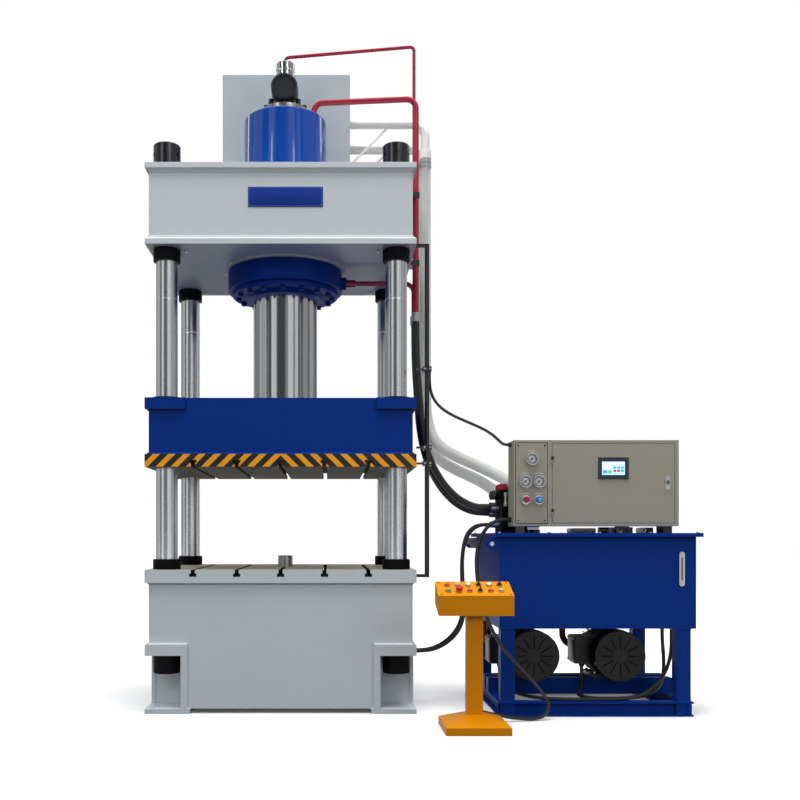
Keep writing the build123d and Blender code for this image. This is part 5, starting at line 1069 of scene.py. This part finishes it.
# Each field's left, right, lower and upper edge are shares of the display, and the last number is its tone.
field_shares = [
    (0.0, 1.0, 0.0, 1.0, 0),
    (0.04, 0.30, 0.80, 0.93, 1), (0.36, 0.70, 0.80, 0.93, 1), (0.76, 0.96, 0.80, 0.93, 1),
    (0.04, 0.40, 0.48, 0.70, 1), (0.04, 0.22, 0.12, 0.34, 2), (0.26, 0.42, 0.12, 0.34, 4),
    (0.50, 0.62, 0.48, 0.62, 2), (0.66, 0.78, 0.48, 0.62, 2), (0.82, 0.95, 0.48, 0.62, 5),
    (0.50, 0.62, 0.22, 0.40, 3), (0.66, 0.78, 0.22, 0.40, 3), (0.82, 0.95, 0.22, 0.40, 5),
]
screen_wide, screen_tall, screen_face, field_lift = 0.157, 0.092, -0.6834, 0.0003
screen_middle = sum(span("touch_screen"), Vector()) / 2
screen_left, screen_low = screen_middle.x - screen_wide / 2, screen_middle.z - screen_tall / 2
display = bmesh.new()
for left, right, low, high, tone in field_shares:
    face_y = screen_face - (field_lift if tone else 0.0)
    shares = [(left, low), (right, low), (right, high), (left, high)]
    corners = [(screen_left + screen_wide * u, face_y, screen_low + screen_tall * v) for u, v in shares]
    patch = display.faces.new([display.verts.new(corner) for corner in corners])
    patch.material_index = tone
fixed(made_of(display, "lit_display", display_tones), "door_body")

# Pressure gauges: chromed cases with a pale printed dial, a black pointer and a flat glass.
# The dial's marks run clockwise from zero at the lower left through three quarters of a turn.
# A blank label plate stands above each gauge and knob.
dress("gauge_cases", 0.6, [hard_chrome])
dial_grey = enamel("printed_dial_grey", "#8C95A5", roughness=0.5, peel=0.0)
dial_white = enamel("printed_dial_white", "#E9ECEA", roughness=0.5, peel=0.0)
dial_black = enamel("printed_dial_black", "#15161A", roughness=0.5, peel=0.0)
gauge_glass, _, glass_shader = plain_material("gauge_glass")
glass_shader.inputs["Roughness"].default_value = 0.02
glass_shader.inputs["Transmission Weight"].default_value = 1.0
glass_shader.inputs["IOR"].default_value = 1.45
glass_shader.inputs["Alpha"].default_value = 0.25
dial_start, dial_end, tick_thickness = 225, -45, 0.0004
tick_tree, tick_in = repeat_tree("dial_ticks", {
    "Centres": "Geometry", "Ring Radius": "Float", "Tick Length": "Float", "Tick Width": "Float",
    "Ticks": "Int",
}, "Marks")
tick_row = put(tick_tree, "GeometryNodePoints", {"Count": tick_in["Ticks"]})
tick_last = put(tick_tree, "ShaderNodeMath", {0: tick_in["Ticks"], 1: 1.0}, operation="SUBTRACT")
tick_index = put(tick_tree, "GeometryNodeInputIndex")
tick_parts = {0: tick_index.outputs[0], 1: tick_last.outputs[0]}
tick_share = put(tick_tree, "ShaderNodeMath", tick_parts, operation="DIVIDE")
tick_angle = put(tick_tree, "ShaderNodeMapRange", {
    0: tick_share.outputs[0], 3: math.radians(dial_start), 4: math.radians(dial_end),
})
tick_cos = put(tick_tree, "ShaderNodeMath", {0: tick_angle.outputs[0]}, operation="COSINE")
tick_sin = put(tick_tree, "ShaderNodeMath", {0: tick_angle.outputs[0]}, operation="SINE")
tick_way = put(tick_tree, "ShaderNodeCombineXYZ", {"X": tick_cos.outputs[0], "Z": tick_sin.outputs[0]})
tick_out = {0: tick_way.outputs[0], "Scale": tick_in["Ring Radius"]}
tick_spot = put(tick_tree, "ShaderNodeVectorMath", tick_out, operation="SCALE")
tick_set = put(tick_tree, "GeometryNodeSetPosition", {
    "Geometry": tick_row.outputs[0], "Position": tick_spot.outputs[0],
})
tick_size = put(tick_tree, "ShaderNodeCombineXYZ", {
    "X": tick_in["Tick Length"], "Y": tick_thickness, "Z": tick_in["Tick Width"],
})
tick_bar = put(tick_tree, "GeometryNodeMeshCube", {"Size": tick_size.outputs[0]})
tick_back = put(tick_tree, "ShaderNodeMath", {0: tick_angle.outputs[0], 1: -1.0}, operation="MULTIPLY")
tick_turn = put(tick_tree, "ShaderNodeCombineXYZ", {"Y": tick_back.outputs[0]})
tick_dial = put(tick_tree, "GeometryNodeInstanceOnPoints", {
    "Points": tick_set.outputs[0], "Instance": tick_bar.outputs[0], "Rotation": tick_turn.outputs[0],
})
tick_all = put(tick_tree, "GeometryNodeInstanceOnPoints", {
    "Points": tick_in["Centres"], "Instance": tick_dial.outputs[0],
})
close_tree(tick_tree, tick_all.outputs[0], tick_in["Finish"])
top_gauge_x, left_gauge_x, right_gauge_x, top_gauge_z, low_gauge_z = 1.715, 1.6705, 1.7638, 1.7424, 1.58896
gauge_spots = [(top_gauge_x, top_gauge_z), (left_gauge_x, low_gauge_z), (right_gauge_x, low_gauge_z)]
dial_face, dial_thickness, dial_radius = -0.686, 0.0006, 0.0375
band_inner, band_outer, band_top = 0.0245, 0.0345, 0.001
dial_frames = [stood(x, dial_face, z, (0, -1, 0)) for x, z in gauge_spots]
dial_profile = washer(0, dial_radius, 0.0, dial_thickness)[:4]
turned("dial_faces", dial_profile, dial_frames, [dial_white], steps=48)
dial_band = washer(band_inner, band_outer, dial_thickness, band_top)
turned("dial_bands", dial_band, dial_frames, [dial_grey], steps=48)
tick_face, tick_outer = -0.6872, 0.0335
tick_kinds = [("fine", 51, 0.0025, 0.0004), ("bold", 11, 0.005, 0.0009)]
for tick_name, tick_count, tick_long, tick_wide in tick_kinds:
    centres = bpy.data.meshes.new("dial_ticks_" + tick_name)
    centres.from_pydata([(x, tick_face, z) for x, z in gauge_spots], [], [])
    tick_sizes = {
        "Ring Radius": tick_outer - tick_long / 2, "Tick Length": tick_long, "Tick Width": tick_wide,
        "Ticks": tick_count,
    }
    node_mesh("dial_ticks_" + tick_name, tick_tree, centres, tick_sizes, dial_black)
figure_radius, figure_face, figure_height = 0.0235, -0.6869, 0.0075
figures = bmesh.new()
for x, z in gauge_spots:
    for step in range(0, 11, 2):
        figure = bpy.data.curves.new("dial_figure", "FONT")
        figure.body = str(step * 4)
        figure.size = figure_height
        figure.align_x = "CENTER"
        figure.align_y = "CENTER"
        figure_object = bpy.data.objects.new("dial_figure", figure)
        scene.collection.objects.link(figure_object)
        figure_mesh = worked_out(figure_object)
        turn = math.radians(dial_start + (dial_end - dial_start) * step / 10)
        figure_x, figure_z = x + figure_radius * math.cos(turn), z + figure_radius * math.sin(turn)
        upright = Matrix.Rotation(math.radians(90), 4, "X")
        figure_mesh.transform(Matrix.Translation((figure_x, figure_face, figure_z)) @ upright)
        figures.from_mesh(figure_mesh)
        bpy.data.objects.remove(figure_object)
        bpy.data.meshes.remove(figure_mesh)
fixed(made_of(figures, "dial_figures", [dial_black]))
for needle_node in ("needle_top", "needle_left", "needle_right"):
    dress(needle_node, 0, [dial_black])
glass_face, glass_radius, glass_thickness = -0.7065, 0.0379, 0.002
glass_frames = [stood(x, glass_face, z, (0, -1, 0)) for x, z in gauge_spots]
glass_profile = washer(0, glass_radius, 0.0, glass_thickness)[:4]
turned("gauge_glasses", glass_profile, glass_frames, [gauge_glass], steps=48)
label_tone = enamel("pale_label_print", "#C8C6BB", roughness=0.5, peel=0.0)
label_half, label_rise, label_lift = 0.026, 0.004, 0.0006
top_label_z, low_label_z, knob_label_z = 1.797, 1.644, 1.506
knob_columns = {"pressure": 1.6747, "return": 1.7638}
label_spots = [(top_gauge_x, top_label_z), (left_gauge_x, low_label_z), (right_gauge_x, low_label_z)]
label_spots += [(knob_x, knob_label_z) for knob_x in knob_columns.values()]
for number, (x, z) in enumerate(label_spots):
    near = (x - label_half, panel_low.y - label_lift, z - label_rise)
    far = (x + label_half, panel_low.y, z + label_rise)
    slab(f"label_plate_{number}", near, far, label_tone, ease=0.0002)

# Regulator knobs: fluted knobs with a cap in the middle.
# The pressure knob is plated with a red face; the return knob is a blue moulding.
knob_red = enamel("red_moulding", "#B51E2C", roughness=0.25, peel=0.0)
knob_blue = enamel("blue_moulding", "#1F6CB8", roughness=0.25, peel=0.0)
cap_blue = enamel("pale_blue_moulding", "#6FB0E0", 0.3, peel=0.0)
dress("pressure_knob", 0.8, [knob_red, rod_steel], lambda at, up: int(abs(up.y) < 0.5))
dress("return_knob", 0.8, [knob_blue])
knob_cap = [(0, 0.0), (0.014, 0.0), (0.014, 0.002), (0.012, 0.003), (0, 0.003)]
knob_axis = 1.4629
for knob_name, cap_tone in (("pressure", red_enamel), ("return", cap_blue)):
    knob_face = span(knob_name + "_knob")[0].y
    knob_front = stood(knob_columns[knob_name], knob_face, knob_axis, (0, -1, 0))
    knob_body = knob_name + "_knob_body"
    turned(knob_name + "_knob_cap", knob_cap, [knob_front], [cap_tone], knob_body, steps=32)

# Pedestal: a folded post on a skirted foot and a sloped desk, sprayed safety yellow.
# The desk's panel carries lamps, push buttons and turn switches in plated bezels.
yellow_enamel = enamel("safety_yellow_enamel", "#DA8800", roughness=0.4, gleam=0.14)
post_back, grommet_x, grommet_half, grommet_low, grommet_high = -1.1235, 1.25, 0.02, 0.09, 0.135


def pedestal_finish(at, up):
    level_with = grommet_low < at.z < grommet_high and abs(at.x - grommet_x) < grommet_half
    return int(at.y > post_back and level_with)


dress("pedestal", 2.0, [yellow_enamel, black_oxide], pedestal_finish)
dress("button_box", 2.0, [yellow_enamel])
desk_low, desk_high = span("button_box")
desk_front_top = 0.846
desk_along = Vector((0, desk_high.y - desk_low.y, desk_high.z - desk_front_top)).normalized()
desk_up = Vector((0, -desk_along.z, desk_along.y))
desk_middle = (desk_low.x + desk_high.x) / 2


def on_desk(column, row):
    """A point on the desk's panel: the column's place across it and the row's distance up the slope."""
    return Vector((desk_middle + column, desk_low.y, desk_front_top)) + desk_along * row


def moulding(name, colour, roughness=0.25):
    """Injection-moulded plastic for switches: a clean colour with a soft gloss."""
    return enamel(name, colour, roughness=roughness, shade=0.97, peel=0.0)


bezel_metal = machined_steel("plated_bezel", "#C9CBCD", roughness=0.22, lay=(60.0, 60.0, 60.0))
lamp_tones = [
    bezel_metal, moulding("lamp_orange_red", "#E2431E"), moulding("lamp_smoke_grey", "#A7A9A4"),
    moulding("lamp_opal_white", "#E4E6DF"),
]
lamp_of_column = {0: 1, 1: 2, 2: 3, 4: 3}
column_pitch, bezel_height = 0.066, 0.0081


def fitting_finish(at, up):
    if (at - on_desk(0, 0)).dot(desk_up) < bezel_height:
        return 0
    column = round((at.x - desk_middle) / column_pitch + 2.5)
    return lamp_of_column.get(column, 0)


dress("panel_fittings", 0.8, lamp_tones, fitting_finish)
for button_node, tone in (
    ("start_button", moulding("button_green", "#2FA35A")),
    ("stop_button", moulding("button_stop_red", "#C81E1E")),
    ("lower_button", moulding("button_red", "#D2402A")),
    ("raise_button", moulding("button_raise_red", "#D2402A")),
    ("eject_button", moulding("button_pale_green", "#8CC79A")),
):
    dress(button_node, 1.0, [tone])
switch_black = moulding("switch_black", "#17181B", 0.35)
for selector_node in ("mode_selector", "heat_selector", "pump_selector"):
    dress(selector_node, 0.8, [switch_black])
desk_pin_half, desk_pin_rows = 0.215, (0.018, 0.188)
desk_pins = [tuple(on_desk(x, row)) for x in (-desk_pin_half, desk_pin_half) for row in desk_pin_rows]
screws(
    "desk_screws", desk_pins, tuple(desk_up), black_oxide,
    radius=0.005, height=0.003, socket=0.4,
)

# Hoses and cables: rubber-covered pressure hose and rubber-sheathed cable, dull black under a bloom of dust.
# The two return hoses are clear vinyl with a steel wire wound inside the wall.
hose_rubber, hose_tree, hose_shader = plain_material("hose_rubber")
hose_place = put(hose_tree, "ShaderNodeTexCoord").outputs["Object"]
hose_cloud = {"Vector": hose_place, "Scale": 14.0, "Detail": 6.0, "Roughness": 0.65}
hose_dust = put(hose_tree, "ShaderNodeTexNoise", hose_cloud).outputs["Fac"]
hose_tones = {0: hose_dust, 6: srgb("#101114"), 7: srgb("#25262A")}
hose_tone = put(hose_tree, "ShaderNodeMix", hose_tones, data_type="RGBA")
hose_tree.links.new(hose_tone.outputs[2], hose_shader.inputs["Base Color"])
hose_gloss = put(hose_tree, "ShaderNodeMapRange", {0: hose_dust, 3: 0.38, 4: 0.6})
hose_tree.links.new(hose_gloss.outputs[0], hose_shader.inputs["Roughness"])
hose_grain = put(hose_tree, "ShaderNodeTexNoise", {"Vector": hose_place, "Scale": 420.0, "Detail": 2.0})
hose_skin = {"Height": hose_grain.outputs["Fac"], "Strength": 0.4, "Distance": 0.0003}
hose_bump = put(hose_tree, "ShaderNodeBump", hose_skin)
hose_tree.links.new(hose_bump.outputs[0], hose_shader.inputs["Normal"])
clear_vinyl, clear_tree, clear_shader = plain_material("clear_spiral_vinyl")
clear_place = put(clear_tree, "ShaderNodeTexCoord").outputs["Object"]
clear_cloud = {"Vector": clear_place, "Scale": 7.0, "Detail": 5.0, "Roughness": 0.6}
clear_haze = put(clear_tree, "ShaderNodeTexNoise", clear_cloud).outputs["Fac"]
clear_tones = {0: clear_haze, 6: srgb("#C9CDBF"), 7: srgb("#E6E9EA")}
clear_tone = put(clear_tree, "ShaderNodeMix", clear_tones, data_type="RGBA")
clear_tree.links.new(clear_tone.outputs[2], clear_shader.inputs["Base Color"])
clear_veil = put(clear_tree, "ShaderNodeMapRange", {0: clear_haze, 1: 0.3, 2: 0.7, 3: 0.62, 4: 0.4})
clear_tree.links.new(clear_veil.outputs[0], clear_shader.inputs["Alpha"])
clear_shader.inputs["Roughness"].default_value = 0.14


def route(name, points):
    """The centreline of a hose: one smooth spline through its route."""
    curve = bpy.data.curves.new(name, "CURVE")
    curve.dimensions = "3D"
    curve.resolution_u = 10
    spline = curve.splines.new("NURBS")
    spline.points.add(len(points) - 1)
    for point, place in zip(spline.points, points):
        point.co = (*place, 1.0)
    spline.order_u = 3
    spline.use_endpoint_u = True
    return curve


def lay_hose(name, node, points, diameter, material):
    """A solid hose or cable on its route, from its first fitting to its last."""
    curve = route(name, points)
    curve.bevel_depth = diameter / 2
    curve.bevel_resolution = 5
    curve.materials.append(material)
    hose = bpy.data.objects.new(name, curve)
    scene.collection.objects.link(hose)
    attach(hose, "machine_frame")
    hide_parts(node)
    return hose


def sweep(form, path, radius, steps, finish):
    """Adds a round tube along a path to a form and returns the path's frames, which don't twist."""
    frames, rings, side = [], [], None
    for i, here in enumerate(path):
        way = (path[min(i + 1, len(path) - 1)] - path[max(i - 1, 0)]).normalized()
        side = way.orthogonal() if side is None else side - way * side.dot(way)
        side.normalize()
        over = way.cross(side)
        frames.append((here, side.copy(), over))
        turns = [math.tau * k / steps for k in range(steps)]
        spokes = [math.cos(t) * side + math.sin(t) * over for t in turns]
        rings.append([form.verts.new(here + radius * spoke) for spoke in spokes])
    for low, high in zip(rings, rings[1:]):
        for k in range(steps):
            wall = form.faces.new((low[k], low[(k + 1) % steps], high[(k + 1) % steps], high[k]))
            wall.smooth = True
            wall.material_index = finish
    return frames


def wound(frames, radius, pitch, steps):
    """A helix round a path's frames: one turn for each pitch along it."""
    helix, travelled = [], 0.0
    for (here, side, over), (there, next_side, next_over) in zip(frames, frames[1:]):
        stretch = (there - here).length
        count = max(1, round(stretch * steps / pitch))
        for k in range(count):
            share = k / count
            turn = math.tau * (travelled + share * stretch) / pitch
            here_side, here_over = side.lerp(next_side, share), over.lerp(next_over, share)
            across = math.cos(turn) * here_side + math.sin(turn) * here_over
            helix.append(here.lerp(there, share) + radius * across.normalized())
        travelled += stretch
    return helix


wire_depth, wire_pitch_along, wire_radius = 0.0025, 0.015, 0.001
hose_sides, wire_sides, wire_turn_steps = 28, 5, 14


def lay_clear_hose(name, node, points, diameter):
    """A clear hose along its route with the wire that stiffens it, 2 mm thick and wound every 15 mm."""
    line = bpy.data.objects.new(name + "_line", route(name, points))
    scene.collection.objects.link(line)
    line_mesh = worked_out(line)
    path = [vert.co.copy() for vert in line_mesh.vertices]
    bpy.data.objects.remove(line)
    bpy.data.meshes.remove(line_mesh)
    form = bmesh.new()
    frames = sweep(form, path, diameter / 2, hose_sides, 0)
    wire = wound(frames, diameter / 2 - wire_depth, wire_pitch_along, wire_turn_steps)
    sweep(form, wire, wire_radius, wire_sides, 1)
    hose = made_of(form, name, [clear_vinyl, zinc_plate])
    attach(hose, "machine_frame")
    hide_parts(node)
    return hose


lay_hose("pressure_hose", "pressure_hoses", [
    (0.978, -0.122, 2.809), (0.978, -0.122, 2.56), (1.004, -0.124, 2.24), (1.02, -0.13, 2.03),
    (1.052, -0.142, 1.86), (1.108, -0.165, 1.712), (1.182, -0.197, 1.588), (1.268, -0.23, 1.495),
    (1.345, -0.262, 1.447), (1.42, -0.28, 1.421), (1.508, -0.28, 1.421),
], 0.050, hose_rubber)
lay_hose("return_hose", "pressure_hoses", [
    (0.972, 0.0, 2.809), (0.972, 0.0, 2.56), (0.992, -0.006, 2.24), (1.008, -0.018, 2.02),
    (1.04, -0.036, 1.845), (1.094, -0.062, 1.69), (1.168, -0.095, 1.562), (1.254, -0.132, 1.464),
    (1.336, -0.165, 1.411), (1.42, -0.195, 1.385), (1.508, -0.195, 1.385),
], 0.040, hose_rubber)
lay_hose("pilot_hose", "pressure_hoses", [
    (0.968, -0.062, 2.809), (0.968, -0.062, 2.56), (0.985, -0.066, 2.24), (0.998, -0.078, 2.02),
    (1.03, -0.092, 1.845), (1.085, -0.114, 1.692), (1.165, -0.15, 1.562), (1.256, -0.184, 1.478),
    (1.34, -0.203, 1.448), (1.42, -0.205, 1.44), (1.508, -0.205, 1.44),
], 0.026, hose_rubber)
lay_clear_hose("clear_hose_front", "clear_hoses", [
    (1.11, 0.5, 4.27), (1.11, 0.5, 2.42), (1.118, 0.492, 2.19), (1.152, 0.47, 2.036),
    (1.215, 0.437, 1.942), (1.29, 0.4, 1.884), (1.385, 0.355, 1.83), (1.505, 0.298, 1.77),
    (1.631, 0.238, 1.702), (1.755, 0.178, 1.622), (1.83, 0.143, 1.545), (1.878, 0.12, 1.456),
    (1.9, 0.11, 1.36), (1.9, 0.11, 1.267),
], 0.088)
lay_clear_hose("clear_hose_rear", "clear_hoses", [
    (1.1, 0.612, 4.27), (1.1, 0.612, 2.4), (1.102, 0.602, 2.18), (1.124, 0.572, 2.01),
    (1.178, 0.53, 1.89), (1.25, 0.49, 1.815), (1.345, 0.44, 1.752), (1.45, 0.385, 1.698),
    (1.55, 0.33, 1.64), (1.632, 0.28, 1.575), (1.695, 0.235, 1.5), (1.732, 0.205, 1.42),
    (1.745, 0.19, 1.345), (1.745, 0.19, 1.267),
], 0.088)
lay_hose("sensor_cable_run", "sensor_cable", [
    (1.035, -0.52, 2.362), (1.035, -0.52, 2.29), (1.044, -0.524, 2.22), (1.075, -0.532, 2.152),
    (1.128, -0.542, 2.098), (1.195, -0.551, 2.056), (1.27, -0.559, 2.021), (1.345, -0.566, 1.988),
    (1.412, -0.571, 1.956), (1.468, -0.575, 1.919), (1.51, -0.577, 1.88), (1.542, -0.577, 1.85),
    (1.575, -0.577, 1.85),
], 0.020, hose_rubber)
lay_hose("ejector_hose_front", "ejector_hoses", [
    (1.5, -0.335, 1.3), (1.448, -0.335, 1.3), (1.396, -0.334, 1.288), (1.349, -0.331, 1.25),
    (1.316, -0.326, 1.19), (1.298, -0.32, 1.11), (1.293, -0.312, 1.02), (1.298, -0.304, 0.92),
    (1.306, -0.296, 0.82), (1.313, -0.29, 0.72), (1.308, -0.286, 0.63), (1.284, -0.28, 0.55),
    (1.24, -0.274, 0.484), (1.175, -0.268, 0.43), (1.105, -0.264, 0.395), (1.03, -0.262, 0.38),
    (0.946, -0.262, 0.38),
], 0.026, hose_rubber)
lay_hose("ejector_hose_rear", "ejector_hoses", [
    (1.5, -0.265, 1.3), (1.44, -0.265, 1.3), (1.388, -0.263, 1.286), (1.345, -0.258, 1.246),
    (1.318, -0.25, 1.18), (1.305, -0.243, 1.09), (1.3, -0.236, 0.99), (1.303, -0.23, 0.89),
    (1.308, -0.225, 0.79), (1.31, -0.22, 0.695), (1.3, -0.216, 0.612), (1.272, -0.212, 0.54),
    (1.226, -0.208, 0.48), (1.166, -0.203, 0.43), (1.098, -0.2, 0.396), (1.026, -0.198, 0.38),
    (0.946, -0.198, 0.38),
], 0.026, hose_rubber)
lay_hose("pedestal_cable_run", "pedestal_cable", [
    (1.575, -0.577, 1.33), (1.525, -0.577, 1.33), (1.475, -0.584, 1.316), (1.428, -0.6, 1.282),
    (1.388, -0.622, 1.23), (1.358, -0.648, 1.165), (1.34, -0.676, 1.09), (1.334, -0.704, 1.005),
    (1.338, -0.73, 0.91), (1.352, -0.754, 0.81), (1.376, -0.776, 0.71), (1.41, -0.796, 0.615),
    (1.456, -0.814, 0.525), (1.516, -0.826, 0.44), (1.588, -0.837, 0.36), (1.66, -0.846, 0.283),
    (1.725, -0.856, 0.206), (1.778, -0.866, 0.132), (1.785, -0.873, 0.098), (1.778, -0.883, 0.065),
    (1.758, -0.894, 0.039), (1.729, -0.904, 0.022), (1.684, -0.914, 0.015), (1.62, -0.925, 0.016),
    (1.54, -0.94, 0.026), (1.46, -0.953, 0.042), (1.385, -0.968, 0.056), (1.325, -0.986, 0.074),
    (1.284, -1.01, 0.094), (1.26, -1.043, 0.108), (1.25, -1.08, 0.112), (1.25, -1.104, 0.112),
], 0.025, hose_rubber)
lay_hose("motor_cable_left", "motor_cables", [
    (2.7, -0.6, 0.572), (2.7, -0.6, 0.51), (2.696, -0.608, 0.44), (2.68, -0.622, 0.365),
    (2.648, -0.64, 0.292), (2.6, -0.662, 0.228), (2.54, -0.686, 0.178), (2.47, -0.71, 0.142),
    (2.39, -0.731, 0.122), (2.3, -0.742, 0.114), (2.2, -0.746, 0.113), (2.1, -0.744, 0.113),
    (2.0, -0.747, 0.113), (1.905, -0.742, 0.113), (1.818, -0.727, 0.114), (1.742, -0.698, 0.117),
    (1.678, -0.656, 0.123), (1.628, -0.606, 0.134), (1.592, -0.55, 0.148), (1.566, -0.492, 0.163),
    (1.555, -0.458, 0.18), (1.547, -0.432, 0.21), (1.543, -0.419, 0.247), (1.543, -0.419, 0.2906),
], 0.025, hose_rubber)
lay_hose("motor_cable_right", "motor_cables", [
    (2.7, -0.42, 0.572), (2.7, -0.42, 0.5), (2.703, -0.428, 0.42), (2.702, -0.446, 0.345),
    (2.692, -0.474, 0.278), (2.67, -0.51, 0.222), (2.636, -0.552, 0.178), (2.59, -0.596, 0.147),
    (2.532, -0.636, 0.128), (2.465, -0.668, 0.118), (2.39, -0.692, 0.114), (2.305, -0.708, 0.113),
    (2.215, -0.712, 0.113), (2.14, -0.702, 0.113), (2.09, -0.68, 0.115), (2.062, -0.648, 0.119),
    (2.053, -0.606, 0.124), (2.062, -0.564, 0.131), (2.08, -0.524, 0.141), (2.101, -0.484, 0.152),
    (2.114, -0.45, 0.17), (2.124, -0.425, 0.202), (2.129, -0.412, 0.242), (2.129, -0.412, 0.2906),
], 0.025, hose_rubber)
